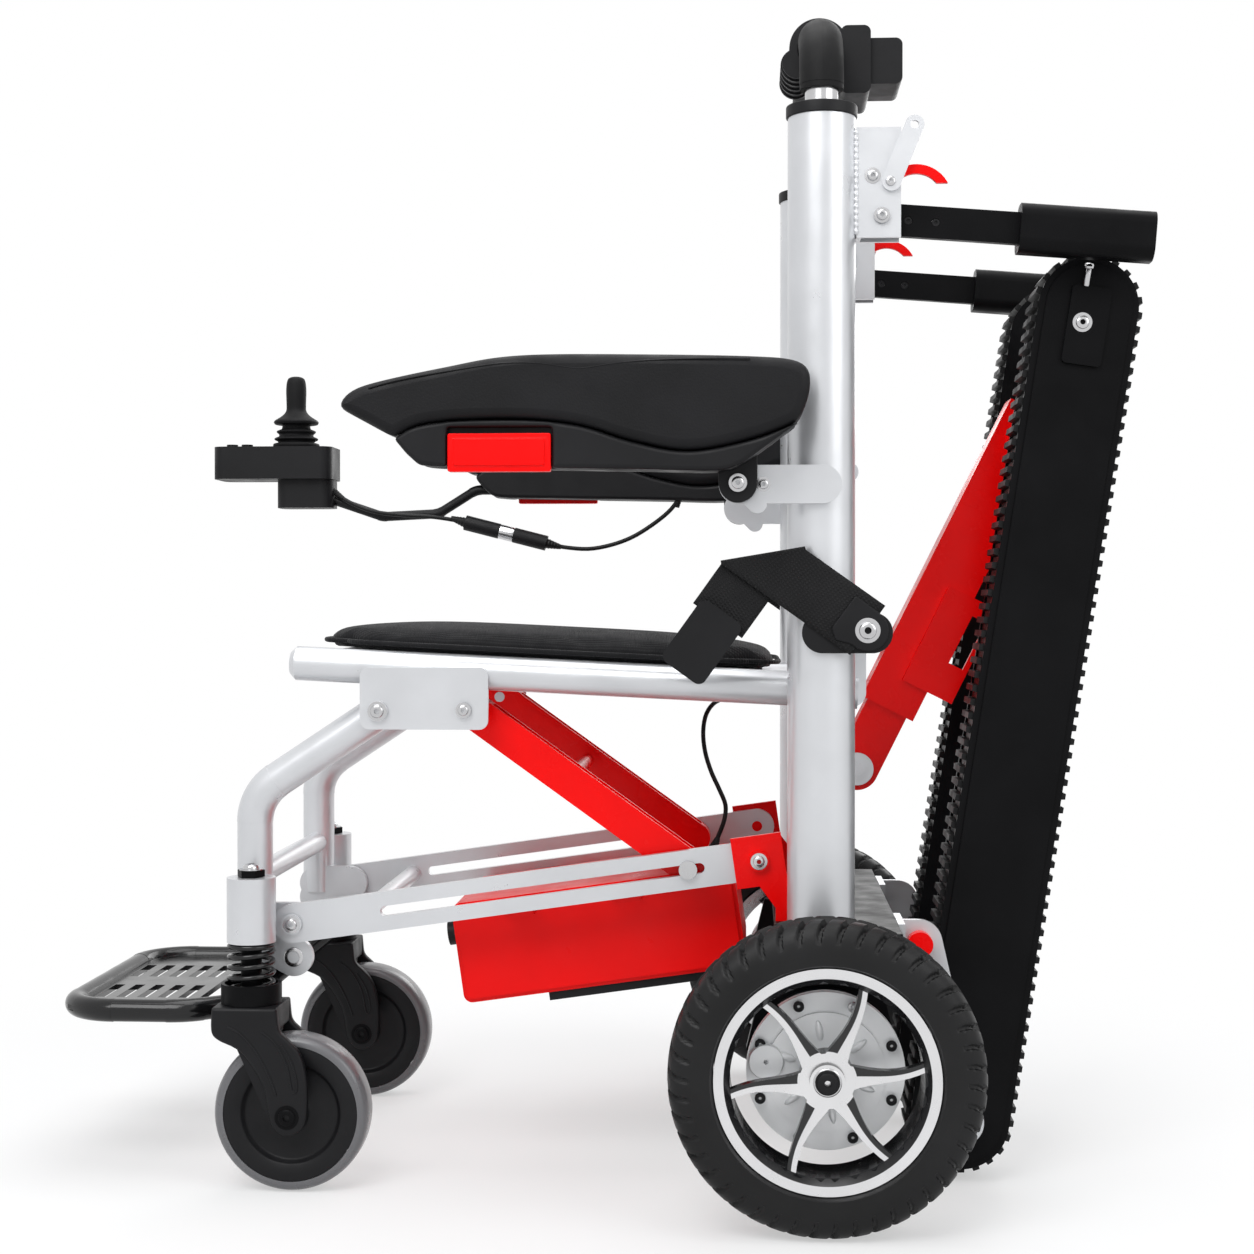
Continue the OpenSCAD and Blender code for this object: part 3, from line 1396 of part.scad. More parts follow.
module panel_button(x) {
    color([0.2, 0.2, 0.2]) translate([x, stick_y, joy_box_z + joy_box[2] - button_h])
        cylinder(r = button_r, h = 2 * button_h);
}

module button_front() {
    panel_button(button_x[0]);
}

module button_rear() {
    panel_button(button_x[1]);
}

module lead_front() {
    color([0.08, 0.08, 0.08]) swept(cord_front, cord_r, cord_sides);
}

module lead_rear() {
    color([0.08, 0.08, 0.08]) swept(cord_rear, cord_r, cord_sides);
}

// Screwed connector between the two leads
module lead_connector() {
    a = cord_front[len(cord_front) - 1];
    d = cord_rear[0] - a;
    l = norm(d);
    color([0.15, 0.15, 0.15]) translate(a) rotate([0, acos(d[2] / l), atan2(d[1], d[0])]) {
        cylinder(r = plug_body_r, h = l * plug_shares[0]);
        translate([0, 0, l * plug_shares[0]]) cylinder(r = plug_ring_r, h = l * plug_shares[1]);
        translate([0, 0, l * (plug_shares[0] + plug_shares[1])])
            cylinder(r = plug_body_r, h = l * plug_shares[2]);
    }
}

posts();
post_collars();
base_beam();
gear_motors();
motor_covers();
track_carriers();
red_fittings();
upper_brackets();
backrest();
armrest_hinges();
belt_straps();
belt_hardware();
push_bar();
handle_grip();
hand_control();
lift_bar_left();
lift_bar_right();
trigger_left();
trigger_right();
track_frames();
track_belts();
drive_pulleys();
idler_pulleys();
arm_inner();
arm_outer();
seat_frame();
seat_cushion();
side_rails();
battery_box();
battery_fittings();
seat_cable();
slot_slides();
fold_struts();
front_legs();
footrest();
caster_stem_left();
caster_stem_right();
caster_spring_left();
caster_spring_right();
caster_fork_left();
caster_fork_right();
caster_wheel_left();
caster_wheel_right();
wheel_tyre_left();
wheel_tyre_right();
wheel_rim_left();
wheel_rim_right();
armrest_left();
armrest_right();
paddle_left();
paddle_right();
joystick_box();
joystick_gimbal();
joystick_stick();
joystick_boot();
button_front();
button_rear();
lead_front();
lead_rear();
lead_connector();
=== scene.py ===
from math import atan2, copysign, cos, exp, pi, radians, sin
import bmesh
import bpy
from mathutils import Matrix, Vector
from mathutils.geometry import delaunay_2d_cdt


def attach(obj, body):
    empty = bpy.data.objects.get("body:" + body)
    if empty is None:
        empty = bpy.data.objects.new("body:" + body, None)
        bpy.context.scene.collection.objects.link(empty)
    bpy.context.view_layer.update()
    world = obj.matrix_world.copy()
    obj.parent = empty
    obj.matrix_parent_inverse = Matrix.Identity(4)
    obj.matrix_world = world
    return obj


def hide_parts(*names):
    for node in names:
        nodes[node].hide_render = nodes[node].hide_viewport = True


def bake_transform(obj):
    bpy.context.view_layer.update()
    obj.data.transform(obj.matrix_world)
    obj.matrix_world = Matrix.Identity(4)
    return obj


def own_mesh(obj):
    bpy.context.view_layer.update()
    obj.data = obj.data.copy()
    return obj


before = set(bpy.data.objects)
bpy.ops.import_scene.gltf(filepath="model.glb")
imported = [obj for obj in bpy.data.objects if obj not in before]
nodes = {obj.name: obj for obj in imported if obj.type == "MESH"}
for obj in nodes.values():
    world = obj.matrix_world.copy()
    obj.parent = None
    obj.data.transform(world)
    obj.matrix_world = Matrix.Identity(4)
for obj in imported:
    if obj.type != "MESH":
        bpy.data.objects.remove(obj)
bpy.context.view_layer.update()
scene = bpy.context.scene
scene.view_settings.view_transform = "Standard"
chairSides = (("left", -1), ("right", 1))  # names, each with its sign of Y
print("frame loaded with", len(nodes), "nodes")


def linkObject(name, data):
    thing = bpy.data.objects.new(name, data)
    scene.collection.objects.link(thing)
    return thing


# camera of the main view
cameraSetup = {"place": (0.135, -1.9, 0.503), "lens": 58.3, "sensor": 36.0, "down": 0.62, "left": 3.33}
cameraData = bpy.data.cameras.new("chairCamera")
cameraData.lens = cameraSetup["lens"]
cameraData.sensor_width = cameraSetup["sensor"]
chairCamera = linkObject("chairCamera", cameraData)
chairCamera.location = cameraSetup["place"]
chairCamera.rotation_euler = (radians(90 - cameraSetup["down"]), 0, radians(cameraSetup["left"]))
scene.camera = chairCamera


# finishes, each with its own grain, colour drift and bump
finishSpecs = {  # colour, its drift, roughness, its drift, grains in a metre, depth of the grain, gloss
    "silverPaint": ((0.62, 0.63, 0.65), 0.05, 0.34, 0.07, 1400, 0.00002, {"metal": 0.55, "coat": 0.25}),
    "blackCoat": ((0.0042, 0.0042, 0.0047), 0.25, 0.4, 0.1, 900, 0.00004, {"shine": 0.07}),
    "glossBlack": ((0.005, 0.005, 0.0055), 0.2, 0.16, 0.06, 300, 0.00002, {"shine": 0.4}),
    "redPaint": ((0.92, 0.0018, 0.0018), 0.06, 0.26, 0.06, 260, 0.00003, {"shine": 0.16}),
    "redPlastic": ((0.92, 0.0018, 0.0018), 0.05, 0.34, 0.07, 1200, 0.00002, {"shine": 0.16}),
    "blackPlastic": ((0.007, 0.007, 0.008), 0.25, 0.46, 0.1, 1500, 0.00006, {"shine": 0.2}),
    "gripFoam": ((0.006, 0.006, 0.0065), 0.3, 0.62, 0.1, 1100, 0.00012, {"shine": 0.16}),
    "tyreRubber": ((0.0068, 0.0068, 0.0072), 0.35, 0.46, 0.1, 700, 0.00008, {"shine": 0.24}),
    "beltRubber": ((0.007, 0.007, 0.0075), 0.35, 0.52, 0.12, 800, 0.00008, {"shine": 0.22}),
    "brightSteel": ((0.55, 0.55, 0.56), 0.06, 0.2, 0.1, 1600, 0.00001, {"metal": 1.0}),
    "castAlloy": ((0.88, 0.89, 0.9), 0.04, 0.4, 0.1, 700, 0.00008, {"metal": 0.2}),
    "cordSheath": ((0.006, 0.006, 0.0065), 0.25, 0.42, 0.08, 900, 0.00003, {"shine": 0.2}),
    "padLeather": ((0.0065, 0.0065, 0.0075), 0.3, 0.52, 0.12, 520, 0.00018, {"shine": 0.18}),
    "greyCompound": ((0.125, 0.125, 0.132), 0.1, 0.3, 0.08, 400, 0.00003, {"coat": 0.2}),
}
finishes = {}
noiseSpan = (0.3, 0.7)  # noise seldom leaves this range
grainSpec = {"cloud": 14, "wear": 38, "detail": 2.0, "coatRough": 0.12}


def plug(tree, step, values):  # a socket takes a link, a number or a colour
    for name, value in values.items():
        if isinstance(value, bpy.types.NodeSocket):
            tree.links.new(value, step.inputs[name])
        else:
            step.inputs[name].default_value = value
    return step


def addNode(tree, kind, values=None):
    return plug(tree, tree.nodes.new("ShaderNode" + kind), values or {})


def blankFinish(name):
    finish = bpy.data.materials.new(name)
    finish.use_nodes = True
    finish.node_tree.nodes.clear()
    return finish, finish.node_tree, addNode(finish.node_tree, "OutputMaterial")


def newFinish(name):
    finish, tree, output = blankFinish(name)
    shader = addNode(tree, "BsdfPrincipled")
    plug(tree, output, {0: shader.outputs[0]})
    finishes[name] = finish
    return tree, shader, addNode(tree, "TexCoord").outputs["Object"]


def noiseOn(tree, coords, scale, detail=4.0):
    return addNode(tree, "TexNoise", {"Scale": scale, "Detail": detail, "Vector": coords}).outputs["Fac"]


def spread(tree, source, low, high):
    return addNode(tree, "MapRange", {"From Min": noiseSpan[0], "From Max": noiseSpan[1],
                                      "To Min": low, "To Max": high, "Value": source}).outputs[0]


def drift(tree, source, color, vary):
    ramp = addNode(tree, "ValToRGB", {0: source})
    for element, place, share in zip(ramp.color_ramp.elements, noiseSpan, (1 - vary, 1 + vary)):
        element.position = place
        element.color = [min(1, c * share) for c in color] + [1]
    return ramp.outputs[0]


def bumpFrom(tree, shader, height, depth):
    bump = addNode(tree, "Bump", {"Distance": depth, "Strength": 1.0, "Height": height})
    plug(tree, shader, {"Normal": bump.outputs[0]})


def mathOn(tree, kind, *values):
    step = addNode(tree, "Math")
    step.operation = kind
    return plug(tree, step, dict(enumerate(values))).outputs[0]


def grainFinish(name, color, vary, rough, roughVary, grain, depth, gloss):
    tree, shader, coords = newFinish(name)
    cloud, wear = noiseOn(tree, coords, grainSpec["cloud"]), noiseOn(tree, coords, grainSpec["wear"])
    plug(tree, shader, {
        "Metallic": gloss.get("metal", 0.0), "Specular IOR Level": gloss.get("shine", 0.5),
        "Coat Weight": gloss.get("coat", 0.0), "Coat Roughness": grainSpec["coatRough"],
        "Base Color": drift(tree, cloud, color, vary),
        "Roughness": spread(tree, wear, rough - roughVary, rough + roughVary)})
    bumpFrom(tree, shader, noiseOn(tree, coords, grain, grainSpec["detail"]), depth)


for finishName, finishSpec in finishSpecs.items():
    grainFinish(finishName, *finishSpec)


clothSpec = {"bands": 0.314, "weft": 1.2, "thread": 0.35, "cloud": 30, "vary": 0.4, "wear": 60,
             "rough": (0.72, 0.9), "shine": 0.2, "sheen": 0.08, "sheenRough": 0.4}


def ribsOn(tree, coords, direction, period):
    scale = clothSpec["bands"] / period  # one band each period, in metres
    ribs = addNode(tree, "TexWave", {"Scale": scale, "Vector": coords})
    ribs.bands_direction = direction
    return ribs.outputs["Fac"]


def clothFinish(name, color, axes, period, depth, slant=0.0):
    tree, shader, coords = newFinish(name)
    turned = addNode(tree, "Mapping", {"Rotation": (0, slant, 0), "Vector": coords}).outputs[0]
    warp = ribsOn(tree, turned, axes[0], period)
    weft = ribsOn(tree, turned, axes[1], period * clothSpec["weft"])
    threads = mathOn(tree, "MULTIPLY", warp, weft)
    cloud, wear = noiseOn(tree, coords, clothSpec["cloud"]), noiseOn(tree, coords, clothSpec["wear"])
    shade = mathOn(tree, "MULTIPLY_ADD", threads, clothSpec["thread"], cloud)
    plug(tree, shader, {
        "Base Color": drift(tree, shade, color, clothSpec["vary"]),
        "Roughness": spread(tree, wear, *clothSpec["rough"]), "Specular IOR Level": clothSpec["shine"],
        "Sheen Weight": clothSpec["sheen"], "Sheen Roughness": clothSpec["sheenRough"]})
    bumpFrom(tree, shader, threads, depth)


clothFinish("seatCloth", (0.008, 0.008, 0.009), "XY", 0.0022, 0.0004)
clothFinish("backCloth", (0.008, 0.008, 0.009), "ZY", 0.0022, 0.0004)
clothFinish("webbing", (0.009, 0.009, 0.0095), "XZ", 0.0026, 0.0006, radians(35))


# rim finish: root, end, hub, lip, bow, half, flare and edge place the painted shade band on each spoke; its
# dark colour is shared with the black barrel
rimLook = {"across": 0.18, "first": 9, "apart": 60, "bow": 4, "root": 0.0176, "end": 0.0795, "hub": 0.0235,
           "lip": 0.0805, "half": 0.00375, "flare": 1.7, "edge": 0.12, "facing": 0.93, "rough": (0.14, 0.3),
           "black": (0.008, 0.008, 0.009), "blackVary": 0.3, "bright": (0.72, 0.72, 0.73), "brightVary": 0.04,
           "cloud": 20, "wear": 60, "grain": 1200, "depth": 0.00001}


def rimFinish():  # machined face with painted shade along one edge of each spoke, black barrel
    tree, shader, coords = newFinish("rimAlloy")

    def calc(kind, *values):
        return mathOn(tree, kind, *values)

    back = addNode(tree, "VectorTransform", {0: addNode(tree, "NewGeometry").outputs["Normal"]})
    back.vector_type = "NORMAL"
    back.convert_from, back.convert_to = "WORLD", "OBJECT"
    across = addNode(tree, "SeparateXYZ", {0: back.outputs[0]}).outputs[1]
    facing = calc("GREATER_THAN", calc("ABSOLUTE", across), rimLook["facing"])
    place = addNode(tree, "SeparateXYZ", {0: addNode(tree, "TexCoord").outputs["Generated"]}).outputs
    x, z = (calc("MULTIPLY", calc("SUBTRACT", place[i], 0.5), rimLook["across"]) for i in (0, 2))
    reach = calc("SQRT", calc("MULTIPLY_ADD", x, x, calc("MULTIPLY", z, z)))
    turn = calc("SUBTRACT", calc("ARCTAN2", z, x), radians(rimLook["first"]))
    along = calc("DIVIDE", calc("SUBTRACT", reach, rimLook["root"]), rimLook["end"] - rimLook["root"])
    sway = calc("SINE", calc("MULTIPLY", along, pi))
    turned = calc("MULTIPLY_ADD", sway, radians(rimLook["bow"]), turn)
    step = radians(rimLook["apart"])
    aside = calc("MULTIPLY", calc("WRAP", turned, step / 2, -step / 2), reach)
    # the painted shade flips to the other edge of the spokes on the other half of the wheel, as if lit from
    # one side
    aside = calc("MULTIPLY", aside, calc("SIGN", calc("COSINE", turn)))
    narrow = calc("POWER", calc("MAXIMUM", calc("SUBTRACT", 1.0, along), 0.0), 3.0)
    half = calc("MULTIPLY_ADD", narrow, rimLook["half"] * rimLook["flare"], rimLook["half"])
    # painted shade: a dark, non-metal band along one edge of each spoke, between hub and lip
    spokeShade = calc("GREATER_THAN", calc("DIVIDE", aside, half), rimLook["edge"])
    spokeShade = calc("MULTIPLY", spokeShade, calc("GREATER_THAN", reach, rimLook["hub"]))
    spokeShade = calc("MULTIPLY", spokeShade, calc("LESS_THAN", reach, rimLook["lip"]))
    bright = calc("MULTIPLY", facing, calc("SUBTRACT", 1.0, spokeShade))
    cloud, wear = noiseOn(tree, coords, rimLook["cloud"]), noiseOn(tree, coords, rimLook["wear"])
    tint = addNode(tree, "Mix")
    tint.data_type = "RGBA"
    plug(tree, tint, {"Factor": bright, "A": drift(tree, cloud, rimLook["black"], rimLook["blackVary"]),
                      "B": drift(tree, cloud, rimLook["bright"], rimLook["brightVary"])})
    plug(tree, shader, {"Base Color": tint.outputs["Result"], "Metallic": bright,
                        "Roughness": spread(tree, wear, *rimLook["rough"])})
    bumpFrom(tree, shader, noiseOn(tree, coords, rimLook["grain"], grainSpec["detail"]), rimLook["depth"])


rimFinish()
print("finishes made:", len(finishes))


# mesh helpers, where a form is a list of points and a list of faces
def linkMesh(name, points, faces, smooth=True):
    mesh = bpy.data.meshes.new(name)
    mesh.from_pydata([tuple(p) for p in points], [], [tuple(f) for f in faces])
    mesh.validate()
    build = bmesh.new()
    build.from_mesh(mesh)
    bmesh.ops.recalc_face_normals(build, faces=build.faces)
    build.to_mesh(mesh)
    build.free()
    for face in mesh.polygons:
        face.use_smooth = smooth
    return linkObject(name, mesh)


mouldedEdge, turnedEdge, roundEdge = 38, 42, 50  # degrees from which an edge stays sharp


def dress(piece, finish, body):
    piece.data.materials.append(finishes[finish])
    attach(piece, body)


def setPiece(name, form, finish, body, sharpAt=None):
    piece = linkMesh(name, *form)
    if sharpAt:
        piece.data.set_sharp_from_angle(angle=radians(sharpAt))
    dress(piece, finish, body)
    return piece


def axisTurn(axis):  # turns local Z onto an axis
    return Vector((0, 0, 1)).rotation_difference(Vector(axis)).to_matrix()


def bandFaces(rings, count, around=True, closed=False):  # quads between neighbouring rings of points
    faces = []
    for r in range(rings if closed else rings - 1):
        for k in range(count if around else count - 1):
            s, m = (r + 1) % rings, (k + 1) % count
            faces.append((r * count + k, r * count + m, s * count + m, s * count + k))
    return faces


def lathe(profile, center, axis, steps):
    turn, center, points = axisTurn(axis), Vector(center), []
    for k in range(steps):
        a = 2 * pi * k / steps
        for r, h in profile:
            points.append(center + turn @ Vector((r * cos(a), r * sin(a), h)))
    return points, bandFaces(steps, len(profile), closed=True)


def curvePoints(route, steps):  # smooth line through given points
    route = [Vector(p) for p in route]
    last, line = len(route) - 1, []
    for i in range(last):
        a, b, c, d = route[max(i - 1, 0)], route[i], route[i + 1], route[min(i + 2, last)]
        for k in range(steps):
            t = k / steps
            line.append(0.5 * (2 * b + (c - a) * t + (2 * a - 5 * b + 4 * c - d) * t * t
                               + (3 * b - a - 3 * c + d) * t ** 3))
    return line + [route[last]]


def tubeAlong(line, radius, sides):
    points, side, last = [], None, len(line) - 1
    for i, p in enumerate(line):
        d = (line[min(i + 1, last)] - line[max(i - 1, 0)]).normalized()
        if side is None:
            side = d.orthogonal().normalized()
        side = (side - d * side.dot(d)).normalized()
        up = d.cross(side)
        r = radius(i / last) if callable(radius) else radius
        for k in range(sides):
            a = 2 * pi * k / sides
            points.append(p + r * (side * cos(a) + up * sin(a)))
    faces = bandFaces(len(line), sides)
    faces.append(tuple(range(sides - 1, -1, -1)))
    faces.append(tuple(last * sides + k for k in range(sides)))
    return points, faces


def joined(forms):
    points, faces = [], []
    for corners, patches in forms:
        start = len(points)
        points.extend(corners)
        faces.extend([tuple(start + i for i in patch) for patch in patches])
    return points, faces


def metres(points):  # lists of points are given in millimetres
    return [tuple(c / 1000 for c in p) for p in points]


def placeOn(sign, place):  # places and forms are given for the right side
    return place[0], sign * place[1], place[2]


def onSide(form, sign):
    return [placeOn(sign, p) for p in form[0]], form[1]


def arcLine(center, radius, first, last, step):
    return [(center[0] + radius * cos(radians(a)), center[1] + radius * sin(radians(a)))
            for a in range(first, last, step)]


# cords, on the routes of the solids
cordSpecs = {
    "radius": 0.0022, "steps": 4, "sides": 14,
    "front": [(-302, 238, 624), (-284, 234, 612), (-258, 232, 602), (-226, 232, 598), (-194, 232, 596),
              (-168, 232, 592), (-160, 232, 590)],
    "rear": [(-74, 232, 568), (-56, 232, 564), (-30, 231, 562), (-6, 230, 566), (16, 230, 574),
             (36, 230, 586), (54, 230, 600), (64, 230, 612), (66, 230, 617)],
    "seat": [(104, 70, 266), (110, 70, 281), (115, 70, 295), (116, 71, 309), (110, 73, 324), (102, 77, 341),
             (96, 83, 360), (94, 91, 379), (97, 101, 396), (106, 113, 407), (121, 127, 411), (140, 140, 412),
             (157, 148.5, 416), (172.4, 154.5, 420), (178.1, 160, 420)],
}
reliefSpec = {"steps": 24, "ribs": 5, "cut": 0.00035, "mouth": 1.12, "bore": 0.9}


def makeCord(name, route, node, body):
    line = curvePoints(metres(cordSpecs[route]), cordSpecs["steps"])
    cord = linkMesh(name, *tubeAlong(line, cordSpecs["radius"], cordSpecs["sides"]))
    cord.data.materials.append(finishes["cordSheath"])
    if body:
        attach(cord, body)
    else:  # the seat cable belongs to no body; its placement is baked in
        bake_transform(cord)
    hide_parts(node)
    return line


def reliefForm(line, wide, length, sunk):  # ribbed sleeve where a cord leaves its housing
    profile, steps, way = [], reliefSpec["steps"], (line[2] - line[0]).normalized()
    for k in range(steps + 1):
        t = k / steps
        r = wide + (cordSpecs["radius"] * reliefSpec["mouth"] - wide) * t
        cut = reliefSpec["cut"] * (1 - cos(2 * pi * reliefSpec["ribs"] * t)) * (1 - t)
        profile.append((r - cut, length * t))
    inner = [(cordSpecs["radius"] * reliefSpec["bore"], h) for _, h in profile[::-1]]
    return lathe(profile + inner, line[0] - way * sunk, way, steps)


frontLine = makeCord("leadFront", "front", "lead_front", "armrest_r")
rearLine = makeCord("leadRear", "rear", "lead_rear", "armrest_r")
seatLine = makeCord("seatCable", "seat", "seat_cable", None)
reliefs = {  # piece: its body, and for each sleeve the cord's line from there, radius, length and depth
    "leadReliefs": ("armrest_r", [(frontLine, 0.0042, 0.014, 0), (frontLine[::-1], 0.0058, 0.016, 0),
                                  (rearLine, 0.0058, 0.016, 0), (rearLine[::-1], 0.0042, 0.012, 0)]),
    "boxRelief": ("rails", [(seatLine, 0.0056, 0.012, 0)]),
    "postRelief": ("frame", [(seatLine[::-1], 0.006, 0.01, 0.002)]),
}
for name, (body, sleeves) in reliefs.items():
    setPiece(name, joined(reliefForm(*sleeve) for sleeve in sleeves), "cordSheath", body)


# padded seat and back
padGrid = {"columns": 44, "rows": 32, "inset": 0.002, "bulge": 0.0015}
puffSpec = {"voxel": 0.004, "limit": 0.004, "pressure": 4.0, "frames": 20}
sewSpec = {"depth": 0.003, "reach": 0.004, "above": 0.008}
pipeSpec = {"radius": 0.0022, "sides": 8}


def padForm(spec):
    length, width = spec["size"]
    columns, rows = padGrid["columns"], padGrid["rows"]
    edge, crown = spec["edge"], spec["crown"]

    def spot(u, v, grow):
        pull = spec["corner"] * (abs(u) * abs(v)) ** 5
        x = u * (length / 2 - pull - spec["draw"] * (1 - v * v) * abs(u) ** 3 - grow)
        y = v * (width / 2 - pull - spec["draw"] * (1 - u * u) * abs(v) ** 3 - grow)
        return x, y

    points, faces, index = [], [], {}
    for layer in (0, 1):
        for i in range(columns + 1):
            for j in range(rows + 1):
                u, v = 2 * i / columns - 1, 2 * j / rows - 1
                x, y = spot(u, v, padGrid["inset"])
                z = 0.0 if layer == 0 else edge + crown * (1 - u ** 4) * (1 - v ** 4)
                index[layer, i, j] = len(points)
                points.append((x, y, z))
    for i in range(columns):
        for j in range(rows):
            for layer in (0, 1):
                faces.append([index[layer, i + a, j + b] for a, b in ((0, 0), (1, 0), (1, 1), (0, 1))])
    loop = [(i, 0) for i in range(columns)] + [(columns, j) for j in range(rows)]
    loop += [(i, rows) for i in range(columns, 0, -1)] + [(0, j) for j in range(rows, 0, -1)]
    middle = []
    for i, j in loop:
        x, y = spot(2 * i / columns - 1, 2 * j / rows - 1, -padGrid["bulge"])
        middle.append(len(points))
        points.append((x, y, edge * 0.5))
    for k in range(len(loop)):
        a, b = loop[k], loop[(k + 1) % len(loop)]
        m, n = middle[k], middle[(k + 1) % len(loop)]
        faces.append((index[0, a[0], a[1]], index[0, b[0], b[1]], n, m))
        faces.append((m, n, index[1, b[0], b[1]], index[1, a[0], a[1]]))
    return (points, faces), [Vector(points[m]) for m in middle]


def frozenCopy(piece):
    depsgraph = bpy.context.evaluated_depsgraph_get()
    piece.data = bpy.data.meshes.new_from_object(piece.evaluated_get(depsgraph))
    piece.modifiers.clear()


def puff(piece):
    remesh = piece.modifiers.new("remesh", "REMESH")
    remesh.mode = "VOXEL"
    remesh.voxel_size = puffSpec["voxel"]
    frozenCopy(piece)
    rest = [v.co.copy() for v in piece.data.vertices]
    cloth = piece.modifiers.new("cloth", "CLOTH")
    cloth.settings.use_pressure = True
    cloth.settings.uniform_pressure_force = puffSpec["pressure"]
    cloth.settings.effector_weights.gravity = 0
    cloth.point_cache.frame_start, cloth.point_cache.frame_end = 1, puffSpec["frames"]
    for frameNumber in range(1, puffSpec["frames"] + 1):
        scene.frame_set(frameNumber)
    frozenCopy(piece)
    scene.frame_set(1)
    for v, old in zip(piece.data.vertices, rest):
        move = v.co - old
        v.co = old + move * min(1.0, puffSpec["limit"] / max(move.length, 1e-9))
        v.co.z = max(v.co.z, 0.0)
    for face in piece.data.polygons:
        face.use_smooth = True


def sewChannels(piece, lines):
    for v in piece.data.vertices:
        if v.co.z > sewSpec["above"]:
            for place in lines:
                v.co.z -= sewSpec["depth"] * exp(-((v.co.x - place) / sewSpec["reach"]) ** 2)


seatTurn = Matrix.Translation((-0.258, 0, 0.452)) @ Matrix.Rotation(radians(2.804), 4, "Y")
padSpecs = {
    "seatPad": {"size": (0.412, 0.278), "edge": 0.011, "crown": 0.011, "corner": 0.03, "draw": 0.003,
                "place": seatTurn @ Matrix.Translation((0.218, 0, 0.0156)), "node": "seat_cushion",
                "body": "seat", "finish": "seatCloth", "channels": (), "fill": 0.55},
    "backPad": {"size": (0.27, 0.284), "edge": 0.015, "crown": 0.004, "corner": 0.03, "draw": 0.003,
                "place": Matrix.Translation((0.2125, 0, 0.739)) @ Matrix.Rotation(radians(-90), 4, "Y"),
                "node": "backrest", "body": "frame", "finish": "backCloth", "channels": (-0.045, 0.045),
                "fill": 0.6},
}
for padName, spec in padSpecs.items():
    form, welt = padForm(spec)
    pad = linkMesh(padName, *form)
    puff(pad)
    sewChannels(pad, spec["channels"])
    pad.data.transform(spec["place"])
    dress(pad, spec["finish"], spec["body"])
    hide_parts(spec["node"])
    ring = [spec["place"] @ p for p in welt]
    pipe = tubeAlong(ring + ring[:2], pipeSpec["radius"], pipeSpec["sides"])
    setPiece(padName + "Piping", pipe, spec["finish"], spec["body"])
    print("padded piece", padName)


# armrests: a soft pad over a moulded cover, parted along an S-shaped seam
armSpec = {
    "near": 0.221, "far": 0.267,
    "top": [(-196, 664), (-190, 674), (-171, 683), (-110, 696), (-48, 705.5), (60, 705.5), (150, 703),
            (178, 699), (187, 690), (186, 670)],
    "seam": [(178, 650), (140, 636), (90, 627), (45, 634.5), (5, 647), (-30, 652), (-70, 653), (-110, 651.5),
             (-135, 647), (-150, 638)],
    "low": [(-140, 626), (-130, 617), (-115, 615.6)],
    "lowRear": [(60, 612.5), (114, 611.5), (134, 618)],
    "notch": (-0.1068, -0.0212, 0.6472), "notchFeet": (0.6155, 0.614), "notchDeep": 0.2535, "inset": 0.003,
    "padRound": 0.0085, "coverRound": 0.0035, "seamGap": 0.0009, "count": 220, "faceCount": 420,
}
lugSpec = {"pin": (0.129, 0.603), "radius": 0.016, "top": [(145, 630), (113, 630)], "near": 0.2212,
           "far": 0.2328, "round": 0.0012, "count": 80}
stitchSpec = {"count": 160, "first": 4, "last": 70, "inset": 0.0125, "sunk": 0.0004, "radius": 0.0007}


def spaced(line, count):  # points at even distances round a closed outline
    line = line + line[:1]
    lengths = [0.0]
    for a, b in zip(line, line[1:]):
        lengths.append(lengths[-1] + (b - a).length)
    points, i = [], 0
    for k in range(count):
        s = lengths[-1] * k / count
        while lengths[i + 1] < s:
            i += 1
        t = (s - lengths[i]) / max(lengths[i + 1] - lengths[i], 1e-9)
        points.append(line[i].lerp(line[i + 1], t))
    return points


def thickness(flat, k, way):  # from a point of the outline straight across to the other side
    best, p, count = 1.0, flat[k], len(flat)
    for j in range(count):
        if min((j - k) % count, (k - j) % count) < 3:
            continue
        a, d = flat[j], flat[(j + 1) % count] - flat[j]
        across = way.x * d.z - way.z * d.x
        if abs(across) < 1e-12:
            continue
        gap = a - p
        reach = (gap.x * d.z - gap.z * d.x) / across
        share = (gap.x * way.z - gap.z * way.x) / across
        if 0 <= share <= 1 and 1e-6 < reach < best:
            best = reach
    return best


